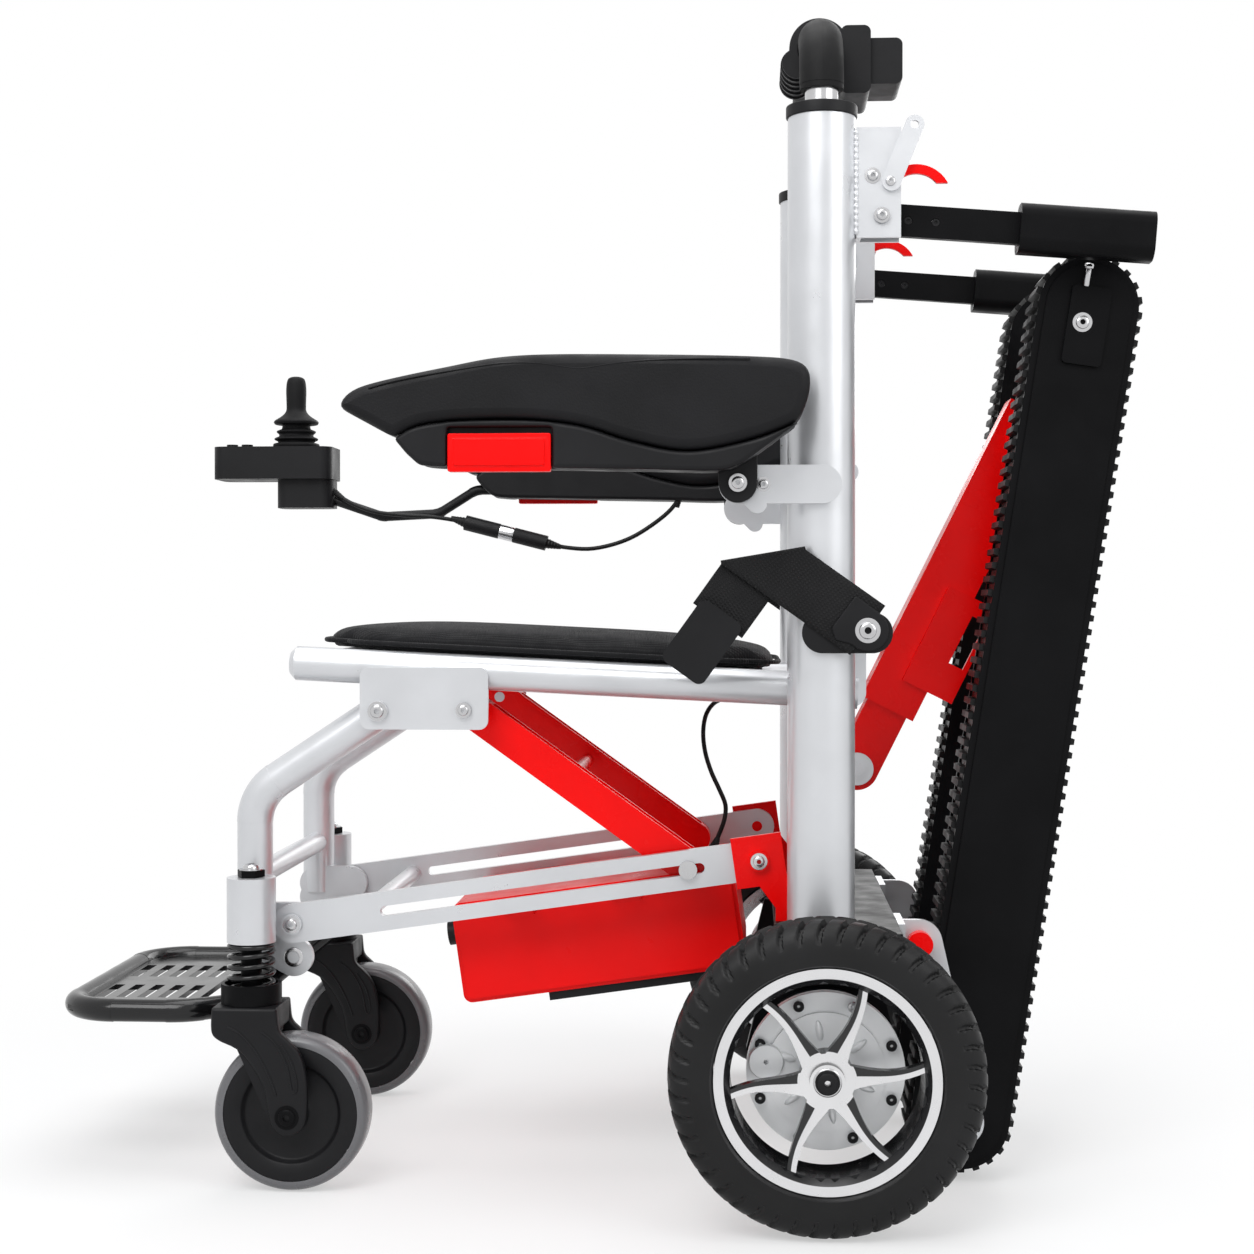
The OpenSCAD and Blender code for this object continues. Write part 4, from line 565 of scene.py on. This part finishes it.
def roundedSlab(outline, near, far, rounding, count, soften=3):
    flat = spaced([Vector((x, 0, z)) for x, z in outline], count)
    for _ in range(soften):
        flat = [(flat[k - 1] + 2 * flat[k] + flat[(k + 1) % count]) / 4 for k in range(count)]
    turn = 1 if sum(a.x * b.z - b.x * a.z for a, b in zip(flat, flat[1:] + flat[:1])) > 0 else -1
    inward = []
    for k in range(count):
        d = (flat[(k + 1) % count] - flat[k - 1]).normalized()
        inward.append(Vector((-d.z, 0, d.x)) * turn)
    room = [min(1.0, 0.4 * thickness(flat, k, inward[k]) / rounding) for k in range(count)]
    for k in range(count):  # no more than an outer bend of the line allows
        before, after = flat[k] - flat[k - 2], flat[(k + 2) % count] - flat[k]
        bend = atan2(before.x * after.z - before.z * after.x, before.dot(after)) * turn
        if bend > 0.02:
            room[k] = min(room[k], 0.8 * (before.length + after.length) / 2 / bend / rounding)
    for _ in range(6):
        room = [min(room[k], (room[k - 1] + room[k] + room[(k + 1) % count]) / 3) for k in range(count)]
    steps = 6
    angles = [pi / 2 * (steps - k) / steps for k in range(steps + 1)]
    rings = [(near + rounding * (1 - sin(a)), rounding * (1 - cos(a))) for a in angles]
    rings += [(near + far - y, c) for y, c in rings[::-1]]
    points = []
    for y, c in rings:
        for k in range(count):
            p = flat[k] + inward[k] * c * room[k]
            points.append((p.x, y, p.z))
    faces = bandFaces(len(rings), count)
    around = [(k, (k + 1) % count) for k in range(count)]
    for r in (0, len(rings) - 1):  # close both broad faces
        rim = [Vector((points[r * count + k][0], points[r * count + k][2])) for k in range(count)]
        cap = delaunay_2d_cdt(rim, around, [], 1, 1e-7)
        places = []
        for corner, source in zip(cap[0], cap[3]):
            places.append(r * count + source[0] if source else len(points))
            if not source:
                points.append((corner.x, rings[r][0], corner.y))
        faces += [tuple(places[i] for i in face) for face in cap[2]]
    return points, faces


def flatFaces(piece):  # broad faces stay flat beside the rounded edges
    for face in piece.data.polygons:
        face.use_smooth = abs(face.normal.y) < 0.9999


def flatLine(points, steps):
    return [(p.x, p.z) for p in curvePoints([(x, 0, z) for x, z in metres(points)], steps)]


for side, sign in chairSides:
    seam = flatLine(armSpec["seam"], 8)
    padLine = flatLine(armSpec["top"], 6) + [(x, z + armSpec["seamGap"]) for x, z in seam]
    front, rear, roof = armSpec["notch"]
    notch = [(front, armSpec["notchFeet"][0]), (front, roof), (rear, roof), (rear, armSpec["notchFeet"][1])]
    low, lowRear = metres(armSpec["low"]), flatLine(armSpec["lowRear"], 4)
    coverLine = seam + low + lowRear
    faceLine = seam + low + notch + lowRear  # the paddle's place is open below
    near, far, deep, inset = (armSpec[key] for key in ("near", "far", "notchDeep", "inset"))
    lugLine = arcLine(lugSpec["pin"], lugSpec["radius"], 180, 361, 12) + metres(lugSpec["top"])
    covers = {
        "armPad_": [(padLine, near, far, armSpec["padRound"], armSpec["count"])],
        "armCover_": [(coverLine, near + inset, deep + 0.001, armSpec["coverRound"], armSpec["count"]),
                      (faceLine, deep - 0.004, far - inset, armSpec["coverRound"], armSpec["faceCount"], 2)],
        "armLug_": [(lugLine, lugSpec["near"], lugSpec["far"], lugSpec["round"], lugSpec["count"])],
    }
    for name, slabs in covers.items():
        soft = name == "armPad_"
        piece = setPiece(name + side, joined(onSide(roundedSlab(*slab), sign) for slab in slabs),
                         "padLeather" if soft else "blackPlastic", "armrest_" + side[0],
                         roundEdge if soft else mouldedEdge)
        flatFaces(piece)
        if name == "armCover_":
            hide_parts("armrest_" + side)
    hem = spaced([Vector((x, 0, z)) for x, z in padLine], stitchSpec["count"])
    middle = sum(hem, Vector()) / len(hem)
    stitch = []
    for q in hem[stitchSpec["first"]:stitchSpec["last"]]:
        p = q + (middle - q).normalized() * stitchSpec["inset"]
        stitch.append(Vector((p.x, sign * (far - stitchSpec["sunk"]), p.z)))
    setPiece("armStitch_" + side, tubeAlong(stitch, stitchSpec["radius"], 6), "padLeather",
             "armrest_" + side[0])
print("armrests dressed")


# rear tyres with slanted tread blocks
wheelPlace = (0.2, 0.277, 0.127)
tyreSpec = {"radius": 0.127, "half": 0.028, "bead": 0.0905, "beadHalf": 0.0232, "crown": 0.034, "square": 0.6,
            "around": 690, "arc": 48, "blocks": 46, "slant": 0.85, "groove": 0.34, "bank": 0.09, "line": 0.2,
            "depth": 0.0044, "treadFrom": 0.108, "wallRib": 0.1035, "ribHalf": 0.0012, "ribHigh": 0.0008}


def ease(a, b, x):
    t = min(1.0, max(0.0, (x - a) / (b - a)))
    return t * t * (3 - 2 * t)


def treadCut(turn, v):
    phase = (turn * tyreSpec["blocks"] - tyreSpec["slant"] * abs(v) + (0.5 if v > 0 else 0)) % 1.0
    wide, bank, line = tyreSpec["groove"], tyreSpec["bank"], tyreSpec["line"]
    groove = ease(0, bank, phase) * (1 - ease(wide - bank, wide, phase)) * ease(line, line + 0.08, abs(v))
    ring = 1 - ease(0.04, 0.09, abs(abs(v) - line))
    shoulder = 1 - ease(0.93, 0.985, abs(v))
    return tyreSpec["depth"] * max(groove, 0.8 * ring) * shoulder


def tyreForm(center):
    bead, around, q = tyreSpec["bead"], tyreSpec["around"], tyreSpec["square"]
    profile = [(bead, -tyreSpec["beadHalf"])]
    for k in range(tyreSpec["arc"] + 1):
        a = radians(-90 + 180 * k / tyreSpec["arc"])
        c, s = max(0.0, cos(a)), sin(a)
        profile.append((tyreSpec["radius"] - tyreSpec["crown"] * (1 - c ** q),
                        tyreSpec["half"] * copysign(abs(s) ** q, s)))
    profile.append((bead, tyreSpec["beadHalf"]))
    points = []
    for k in range(around):
        a = 2 * pi * k / around
        for r, h in profile:
            if r > tyreSpec["treadFrom"]:
                cut = treadCut(k / around, h / tyreSpec["half"])
            else:
                cut = 0.0
            cut -= tyreSpec["ribHigh"] * exp(-((r - tyreSpec["wallRib"]) / tyreSpec["ribHalf"]) ** 2)
            points.append((center[0] + (r - cut) * cos(a), center[1] + h,
                           center[2] + (r - cut) * sin(a)))
    return points, bandFaces(around, len(profile), closed=True)


for side, sign in chairSides:
    tyre = setPiece("tyre_" + side, tyreForm(placeOn(sign, wheelPlace)), "tyreRubber", "wheel_" + side, 32)
    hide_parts("wheel_tyre_" + side)
print("rear tyres cut")


# casters: soft ring round a dished hub, coil spring above the fork
casterPlace, stemX = (-0.254, 0.169, 0.067), -0.291
casterSpec = {
    "ring": [(58.2, -16.6), (61.5, -17), (64.5, -15.2), (66.3, -11.8), (67, -6)],
    "hub": [(5.4, -16.8), (12.5, -16.8), (14.2, -16), (15.2, -12.2), (17.2, -10.4), (39, -9.2), (41.2, -10.2),
            (42.6, -14.2), (44.2, -15.6), (54.5, -16.6), (57.8, -16.2)],
    "around": 120, "coil": 0.0185, "wire": 0.0025, "turns": 5, "flat": 0.4, "low": 0.1684, "high": 0.2116,
    "keep": 0.722,
}


def bothFaces(profile):
    return profile + [(r, -h) for r, h in profile[::-1]]


for side, sign in chairSides:
    center = placeOn(sign, casterPlace)
    for name, key, finish in (("casterRing_", "ring", "greyCompound"), ("casterHub_", "hub", "blackPlastic")):
        form = lathe(bothFaces(metres(casterSpec[key])), center, (0, 1, 0), casterSpec["around"])
        setPiece(name + side, form, finish, "caster_" + side, roundEdge)
    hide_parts("caster_wheel_" + side)
    turns, coil, wire, flatTurn = (casterSpec[key] for key in ("turns", "coil", "wire", "flat"))
    wind, steps = [], 30 * turns
    rise = casterSpec["high"] - casterSpec["low"] - 2 * wire
    for k in range(steps + 1):
        turn = turns * k / steps
        lift = min(1.0, max(0.0, (turn - flatTurn) / (turns - 2 * flatTurn)))
        a = 2 * pi * turn
        wind.append(Vector((stemX + coil * cos(a), center[1] + coil * sin(a),
                            casterSpec["low"] + wire + rise * lift)))
    spring = setPiece("coilSpring_" + side, tubeAlong(wind, wire, 12), "glossBlack", "legs")
    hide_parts("caster_spring_" + side)
    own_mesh(spring)
print("casters made")


# moulded covers of the caster forks
forkSpec = {
    "arm": [(-319, 159.4), (-319.4, 139), (-313, 131.6), (-301.7, 126.6), (-292.8, 120.7), (-282.8, 107.8),
            (-273.9, 90.9), (-269.9, 69), (-266.9, 59), (-261, 52.7), (-254, 50.7), (-246, 52.7),
            (-239.1, 60), (-236.7, 75), (-237, 96.8), (-239.8, 112), (-245, 124), (-253, 132.5),
            (-260.5, 140), (-262.2, 150), (-263, 159.4)],
    "crown": [(-319, 159.5), (-319.2, 140), (-315, 135.2), (-269, 135.2), (-262.5, 140), (-263, 159.5)],
    "ribs": [[(-305, 144), (-293, 137), (-280, 122), (-269, 102), (-263, 86)],
             [(-276, 140), (-264, 130), (-254, 112), (-250, 93), (-248, 88), (-245.5, 90), (-245.5, 99),
              (-250, 115), (-259, 129)]],
    "inner": 0.0198, "outer": 0.0286, "deep": 0.0277, "round": 0.0028, "rib": 0.0009,
}
for side, sign in chairSides:
    middle, deep, rounding = casterPlace[1], forkSpec["deep"], forkSpec["round"]
    slabs = [(metres(forkSpec["crown"]), middle - deep, middle + deep, rounding, 160, 2)]
    for out in (-1, 1):
        near, far = sorted((middle + out * forkSpec["inner"], middle + out * forkSpec["outer"]))
        slabs.append((flatLine(forkSpec["arm"], 4), near, far, rounding, 240, 2))
    shell = setPiece("forkShell_" + side, joined(onSide(roundedSlab(*slab), sign) for slab in slabs),
                     "blackPlastic", "fork_" + side, mouldedEdge)
    flatFaces(shell)
    ribs = []
    for out in (-1, 1):
        for line in forkSpec["ribs"]:
            rib = curvePoints([(x, sign * middle + out * forkSpec["outer"], z) for x, z in metres(line)], 8)
            ribs.append(tubeAlong(rib, forkSpec["rib"], 8))
    setPiece("forkRibs_" + side, joined(ribs), "blackPlastic", "fork_" + side)
print("fork covers made")


# bellows of the joystick, in two bands, and the knob over them
bootSpec = {
    "bootLower": [(24, 670.4), (24.5, 672.8), (23.8, 674.6), (19.8, 675.8), (19.4, 677), (22.4, 678.6),
                  (23.1, 679.7), (22.2, 680.8), (18.6, 682.4), (18, 683.6)],
    "bootUpper": [(18, 683.6), (18.4, 684.8), (20, 686.2), (20.7, 687.4), (19.8, 688.6), (15.8, 690.2),
                  (15, 691.8), (14.6, 694.5)],
    "bodies": {"bootLower": ("armrest_r", "gimbal"), "bootUpper": ("gimbal", "stick")},
    "knob": [(10, 694), (21.2, 695), (23.2, 696.4), (23.6, 697.8), (22.2, 699.6), (16.8, 703), (12.8, 706.4),
             (10.6, 710.2), (10.3, 715), (10.5, 723), (10.7, 730), (10.4, 736.6), (9.6, 741.4), (8, 744.4),
             (4.4, 746), (0.3, 746.3)],
    "knobCore": (0.0003, 0.744), "wall": 0.0014, "around": 56,
}
stickPlace = Vector((-0.343, 0.244, 0))
for name, bodies in bootSpec["bodies"].items():
    outline = flatLine(bootSpec[name], 5)
    profile = outline + [(r - bootSpec["wall"], h) for r, h in outline[::-1]]
    boot = linkMesh(name, *lathe(profile, stickPlace, (0, 0, 1), bootSpec["around"]))
    boot.data.materials.append(finishes["gripFoam"])
    if name == "bootLower":
        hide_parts("joystick_boot")
    place = [stickPlace + Vector((0, 0, outline[i][1])) for i in (0, -1)]
    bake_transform(boot)
knobLine = flatLine(bootSpec["knob"], 5) + [bootSpec["knobCore"]]
setPiece("stickKnob", lathe(knobLine, stickPlace, (0, 0, 1), bootSpec["around"]), "gripFoam", "stick", 60)
print("bellows made")


# lap belt: flat webbing, folded over once on each side
beltSpec = {"start": (0.236, 0.482), "fold": (0.15, 0.543), "end": (0.112, 0.49), "outer": 0.2144,
            "inner": 0.2104, "width": 0.05, "thick": 0.0017, "across": 12, "up": 16, "over": 8, "down": 12,
            "wave": 0.0005, "slack": 0.0004}
anchorSpec = {"radius": 0.0175, "tip": [(226, 511), (206, 484), (209.5, 474)], "near": 0.213,
              "far": 0.2172, "round": 0.0012, "count": 120}


def strapForm(sign):
    start, fold, end = (Vector((x, 0, z)) for x, z in (beltSpec[key] for key in ("start", "fold", "end")))
    ahead, down = (fold - start).normalized(), (end - fold).normalized()
    crease = (ahead + down).normalized()
    lift = Vector((-crease.z, 0, crease.x))
    lift = lift if lift.dot(ahead) > 0 else -lift
    reach = beltSpec["width"] / 2
    half = (beltSpec["outer"] - beltSpec["inner"]) / 2
    middle = (beltSpec["outer"] + beltSpec["inner"]) / 2

    def edge(base, d, share):
        return base + Vector((-d.z, 0, d.x)) * reach * share

    def onCrease(d, share):
        q = edge(fold, d, share)
        gap = fold - q
        return q + d * ((gap.x * crease.z - gap.z * crease.x) / (d.x * crease.z - d.z * crease.x))

    flip = 1 if (onCrease(ahead, 1) - onCrease(down, 1)).length < 1e-6 else -1
    across, points = beltSpec["across"], []
    shares = [2 * j / across - 1 for j in range(across + 1)]
    for k in range(beltSpec["up"] + 1):  # up from the anchor
        for s in shares:
            p = edge(start, ahead, s).lerp(onCrease(ahead, s), k / beltSpec["up"])
            wave = beltSpec["wave"] * sin(k * 0.7 + s)
            points.append((p.x, sign * (beltSpec["outer"] + wave), p.z))
    for k in range(1, beltSpec["over"]):  # over the crease
        a = pi * k / beltSpec["over"]
        for s in shares:
            p = onCrease(ahead, s) + lift * half * sin(a)
            points.append((p.x, sign * (middle + half * cos(a)), p.z))
    for k in range(beltSpec["down"] + 1):  # down to the buckle
        for s in shares:
            p = onCrease(down, s * flip).lerp(edge(end, down, s * flip), k / beltSpec["down"])
            points.append((p.x, sign * (beltSpec["inner"] - beltSpec["slack"] * sin(k * 0.8)), p.z))
    faces = bandFaces(len(points) // (across + 1), across + 1, around=False)
    return (points, faces), (fold - start).length + (end - fold).length + pi * half


for side, sign in chairSides:
    form, length = strapForm(sign)
    strap = setPiece("lapStrap_" + side, form, "webbing", "frame")
    weave = strap.modifiers.new("thickness", "SOLIDIFY")
    weave.thickness, weave.offset = beltSpec["thick"], 0
    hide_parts("belt_straps")
    anchorLine = arcLine(beltSpec["start"], anchorSpec["radius"], -140, 61, 20)
    cover = roundedSlab(anchorLine + metres(anchorSpec["tip"]), anchorSpec["near"], anchorSpec["far"],
                        anchorSpec["round"], anchorSpec["count"])
    setPiece("beltAnchor_" + side, onSide(cover, sign), "blackPlastic", "frame", mouldedEdge)
print("lap belt laid")


# bolts, washers and nuts, gathered on the body that carries them
boltProfile = [(0.4, 0.0), (1.45, 0.0), (1.45, 0.16), (1.02, 0.2), (1.0, 0.62), (0.88, 0.86), (0.66, 1.0),
               (0.4, 1.0)]
boltSpecs = {  # body: (x, distance from the centre plane, z, radius, height)
    "frame": [(147, 148.7, 282, 5, 3.2), (241.3, 187, 862.5, 4.6, 3.4), (256, 190, 857, 4.2, 3),
              (249, 190, 829, 4.6, 3), (226, 161.8, 470, 4.6, 3), (236, 217.1, 482, 7.2, 3.6),
              (129, 236.9, 603, 5.2, 3.4), (150, 214.8, 603, 4.2, 3)],
    "seat": [(-183, 158.4, 411, 5.8, 3.4), (-108, 158.4, 412, 4.6, 2.8)],
    "legs": [(-262, 143.3, 223, 5.2, 3.4)],
    "tracks": [(425, 127.3, 746.7, 5.8, 3)],
}
capSpec = {"out": 0.0284, "radius": 0.0072, "height": 0.0026}
nutSpec = {"foot": 0.2744, "radius": 0.0072, "height": 0.0048}
plugSpec = {"start": (-0.16, 0.232, 0.59), "way": (0.086, 0, -0.022), "along": 0.0378}


def boltForm(place, axis, radius, height):
    return lathe([(r * radius, h * height) for r, h in boltProfile], place, axis, 30)


for body, bolts in boltSpecs.items():
    forms = [boltForm(placeOn(sign, bolt), (0, sign, 0), *bolt[3:])
             for bolt in metres(bolts) for _, sign in chairSides]
    setPiece("bolts_" + body, joined(forms), "brightSteel", body, turnedEdge)
for side, sign in chairSides:
    x, y, z = placeOn(sign, casterPlace)
    caps = [boltForm((x, y + capSpec["out"] * out, z), (0, out, 0), capSpec["radius"], capSpec["height"])
            for out in (-1, 1)]
    setPiece("axleCaps_" + side, joined(caps), "blackCoat", "fork_" + side, turnedEdge)
    nut = boltForm((stemX, y, nutSpec["foot"]), (0, 0, 1), nutSpec["radius"], nutSpec["height"])
    setPiece("stemNut_" + side, nut, "brightSteel", "stem_" + side, turnedEdge)

turnedSpecs = {  # radius and height along the axis
    "plugRing": [(6.6, 0), (7.6, 0), (7.8, 2), (7.8, 13), (7.6, 15), (6.6, 15)],
    "hubBolt": [(2.5, 0), (9.8, 0), (9.8, 1.2), (8.6, 1.6), (8, 4), (7, 4.6), (3, 4.8), (2.5, 4.2)],
    "hubRing": [(9.9, 0), (11.4, 0), (11.4, 1), (10.6, 1.7), (9.9, 1.5)],
    "footWasher": [(5.3, 0), (8.6, 0), (8.6, 0.9), (8, 1.3), (5.3, 1.3)],
    "towPin": [(0.6, 0), (2.2, 0), (2.6, 0.6), (2.6, 15), (4, 15.4), (4.3, 16.2), (4.3, 18.6), (3.6, 19.6),
               (0.6, 19.8)],
    "barPlug": [(0.2, -2.2), (1.4, -2.2), (1.6, -3.4), (3.2, -3.4), (3.4, -3), (3.4, 3), (3.2, 3.4),
                (1.6, 3.4), (1.4, 2.2), (0.2, 2.2)],
    "capScrew": [(1.3, 0), (4.4, 0), (4.4, 2), (3.8, 2.7), (2.2, 2.8), (2, 1.8), (1.3, 1.8)],
    "gearBoss": [(2, 0), (14.5, 0), (14.3, 3.5), (13.4, 4.6), (6, 5), (2, 5)],
}
hubPlace = (wheelPlace[0], 0.2994, wheelPlace[2])
washerPlace, towPlace, towWay = (-0.263, 0.129, 0.192), (0.4275, 0.1305, 0.777), (0.153, 0, 0.988)
weldSpec = {"foot": (0.2272, 0.1868, 0.8135), "long": 0.0876, "steps": 120, "ripples": 17}
barPlugPlaces, barPlugY = [(272.1, 827.2), (295.3, 825.4)], 0.169
motorSpec = {"face": 0.262, "screws": 8, "circle": 0.057, "ribs": 6, "firstRib": 39, "ribStart": 0.026,
             "ribEnd": 0.042, "ribSteps": 10, "boss": (0.152, 0.135), "bossSunk": 0.001}


def turned(name, place, axis, steps):
    return lathe(metres(turnedSpecs[name]), place, axis, steps)


def weldRadius(t):
    return 0.0019 + 0.0007 * abs(sin(pi * weldSpec["ripples"] * t))


def ribRadius(t):
    return 0.0006 + 0.0026 * sin(pi * min(1, 0.06 + 0.94 * t)) ** 0.6


plugWay = Vector(plugSpec["way"]).normalized()
ringPlace = Vector(plugSpec["start"]) + plugWay * plugSpec["along"]
setPiece("plugRing", turned("plugRing", ringPlace, plugWay, 40), "brightSteel", "armrest_r", mouldedEdge)
washers, pins, beads = [], [], []
for side, sign in chairSides:
    for name, finish in (("hubBolt", "blackPlastic"), ("hubRing", "brightSteel")):
        form = turned(name, placeOn(sign, hubPlace), (0, sign, 0), 48)
        setPiece(name + "_" + side, form, finish, "wheel_" + side, turnedEdge)
    washers.append(turned("footWasher", placeOn(sign, washerPlace), (0, sign, 0), 36))
    pins.append(turned("towPin", placeOn(sign, towPlace), towWay, 28))
    foot, steps = Vector(placeOn(sign, weldSpec["foot"])), weldSpec["steps"]
    weld = [foot + Vector((0, 0, weldSpec["long"] * k / steps)) for k in range(steps + 1)]
    beads.append(tubeAlong(weld, weldRadius, 10))
setPiece("footWashers", joined(washers), "brightSteel", "legs", turnedEdge)
setPiece("towPins", joined(pins), "brightSteel", "tracks", turnedEdge)
setPiece("weldBeads", joined(beads), "silverPaint", "frame", turnedEdge)

# plugs in the bars, cover details of the hub motors
darkScrews, brightScrews, ribs = [], [], []
for side, sign in chairSides:
    plugs = [turned("barPlug", (x, sign * barPlugY, z), (0, sign, 0), 28) for x, z in metres(barPlugPlaces)]
    setPiece("barPlugs_" + side, joined(plugs), "blackPlastic", "lift_" + side, turnedEdge)
    face = sign * motorSpec["face"]

    def onMotor(reach, angle):
        return Vector((wheelPlace[0] + reach * cos(angle), face, wheelPlace[2] + reach * sin(angle)))

    for i in range(motorSpec["screws"]):
        place = onMotor(motorSpec["circle"], radians(180 * (2 * i + 1) / motorSpec["screws"]))
        screws = brightScrews if i % 4 == 1 else darkScrews
        screws.append(turned("capScrew", place, (0, sign, 0), 28))
    start, steps = motorSpec["ribStart"], motorSpec["ribSteps"]
    long = motorSpec["ribEnd"] - start
    for i in range(motorSpec["ribs"]):
        a = radians(motorSpec["firstRib"] + 360 * i / motorSpec["ribs"])
        line = [onMotor(start + long * k / steps, a) for k in range(steps + 1)]
        ribs.append(tubeAlong(line, ribRadius, 14))
    x, z = motorSpec["boss"]
    ribs.append(turned("gearBoss", (x, face - sign * motorSpec["bossSunk"], z), (0, sign, 0), 48))
setPiece("motorScrews", joined(darkScrews), "blackPlastic", "frame", turnedEdge)
setPiece("motorStuds", joined(brightScrews), "brightSteel", "frame", turnedEdge)
setPiece("motorRibs", joined(ribs), "castAlloy", "frame", turnedEdge)
print("fasteners set")


# finishes and softened edges of the solids
solidFinishes = {
    "silverPaint": "posts track_carriers upper_brackets armrest_hinges seat_frame side_rails front_legs",
    "blackCoat": "base_beam gear_motors track_frames lift_bar_left lift_bar_right caster_stem_left "
                 "caster_stem_right",
    "glossBlack": "footrest",
    "redPaint": "red_fittings arm_inner arm_outer fold_struts trigger_left trigger_right",
    "redPlastic": "battery_box paddle_left paddle_right",
    "blackPlastic": "post_collars belt_hardware hand_control drive_pulleys idler_pulleys battery_fittings "
                    "joystick_box joystick_stick button_front button_rear lead_connector caster_fork_left "
                    "caster_fork_right",
    "gripFoam": "handle_grip",
    "beltRubber": "track_belts",
    "brightSteel": "push_bar slot_slides joystick_gimbal",
    "castAlloy": "motor_covers",
    "rimAlloy": "wheel_rim_left wheel_rim_right",
}
edgeWidths = {"track_belts": 0, "handle_grip": 0, "push_bar": 0, "joystick_stick": 0, "joystick_gimbal": 0,
              "battery_box": 0.0022, "hand_control": 0.005, "joystick_box": 0.009, "belt_hardware": 0.0022,
              "paddle_left": 0.0014, "paddle_right": 0.0014, "side_rails": 0}
edgeSpec = {"usual": 0.001, "weld": 0.00002, "angle": 40, "weight": 80}
tuckSpec = {"x": -0.468, "y": 0.133, "near": 0.0006, "move": 0.01}
footrest = nodes["footrest"]  # the plate's front corners stay inside the bent tube
corners = footrest.vertex_groups.new(name="plateCorners")
spots = [footrest.matrix_world @ v.co for v in footrest.data.vertices]
picked = [i for i, p in enumerate(spots) if abs(p.x - tuckSpec["x"]) < tuckSpec["near"]
          and abs(abs(p.y) - tuckSpec["y"]) < tuckSpec["near"]]
corners.add(picked, 1.0, "REPLACE")
tuck = footrest.modifiers.new("tuck", "DISPLACE")
tuck.direction, tuck.strength, tuck.mid_level, tuck.vertex_group = "X", tuckSpec["move"], 0.0, corners.name
print("plate corners tucked in:", len(picked))
finishOf = {node: finish for finish, names in solidFinishes.items() for node in names.split()}
for nodeName, finishName in finishOf.items():
    solid = nodes[nodeName]
    solid.data.materials.clear()
    solid.data.materials.append(finishes[finishName])
    width = edgeWidths.get(nodeName, edgeSpec["usual"])
    if width:
        weld = solid.modifiers.new("weld", "WELD")
        weld.merge_threshold = edgeSpec["weld"]
        bevel = solid.modifiers.new("edges", "BEVEL")
        bevel.width, bevel.limit_method = width, "ANGLE"
        bevel.segments = 2 + (width > 0.002) + 2 * (width > 0.004)  # broad edges get more
        bevel.angle_limit = radians(edgeSpec["angle"])
        even = solid.modifiers.new("normals", "WEIGHTED_NORMAL")
        even.keep_sharp, even.weight = False, edgeSpec["weight"]
print("solids dressed:", len(finishOf))


# floor, backdrop and lamps
stageSpec = {"floor": (0.86, 0.86, 0.86, 1), "half": 6, "drop": -0.0006, "fadeFrom": 0.55, "fadeTo": 1.1,
             "fadeLow": 0.5, "glow": (0.95, 0.97, 1.0, 1), "glowPower": 0.42}


def seenDirectly(tree):  # by the camera, or in metal and glass
    rays = addNode(tree, "LightPath").outputs
    return mathOn(tree, "MAXIMUM", mathOn(tree, "MAXIMUM", rays["Is Camera Ray"], rays["Is Glossy Ray"]),
                  rays["Is Transmission Ray"])


def mixed(tree, share, first, second):
    return addNode(tree, "MixShader", {0: share, 1: first.outputs[0], 2: second.outputs[0]}).outputs[0]


def stageFinish():
    paper, tree, output = blankFinish("paleFloor")
    away = addNode(tree, "VectorMath")
    away.operation = "LENGTH"
    plug(tree, away, {0: addNode(tree, "TexCoord").outputs["Object"]})
    fade = addNode(tree, "MapRange", {"From Min": stageSpec["fadeFrom"], "From Max": stageSpec["fadeTo"],
                                      "To Min": stageSpec["fadeLow"], "Value": away.outputs["Value"]})
    fade.interpolation_type = "SMOOTHSTEP"
    share = mathOn(tree, "MULTIPLY", fade.outputs[0], seenDirectly(tree))
    matt = addNode(tree, "BsdfDiffuse", {"Color": stageSpec["floor"]})
    plug(tree, output, {0: mixed(tree, share, matt, addNode(tree, "Emission"))})
    return paper


half = stageSpec["half"]
floorPiece = linkMesh("paleFloor", [(-half, -half, 0), (half, -half, 0), (half, half, 0), (-half, half, 0)],
                      [(0, 1, 2, 3)], False)
floorPiece.location.z = stageSpec["drop"]
floorPiece.data.materials.append(stageFinish())

world = bpy.data.worlds.new("studio")
scene.world = world
world.use_nodes = True
sky = world.node_tree
sky.nodes.clear()
glow = addNode(sky, "Background", {"Color": stageSpec["glow"], "Strength": stageSpec["glowPower"]})
backdrop = addNode(sky, "Background", {"Color": (1, 1, 1, 1)})
addNode(sky, "OutputWorld", {0: mixed(sky, seenDirectly(sky), glow, backdrop)})

lampSpecs = {  # place, aim, size, watts
    "keyLamp": ((-0.7, -1.9, 2.3), (0.0, 0, 0.5), 1.6, 42),
    "fillLamp": ((1.9, -1.5, 1.5), (0.1, 0, 0.5), 1.6, 16),
    "topLamp": ((0.1, 0.1, 2.7), (0.05, 0, 0.4), 2.0, 34),
    "backLamp": ((0.9, 2.0, 1.6), (0.1, 0, 0.6), 1.6, 22),
}
for lampName, (place, aim, size, watts) in lampSpecs.items():
    lampData = bpy.data.lights.new(lampName, "AREA")
    lampData.size, lampData.energy = size, watts
    lamp = linkObject(lampName, lampData)
    lamp.location = place
    lamp.rotation_euler = (Vector(aim) - Vector(place)).to_track_quat("-Z", "Y").to_euler()
print("stage lit")

bpy.context.view_layer.update()
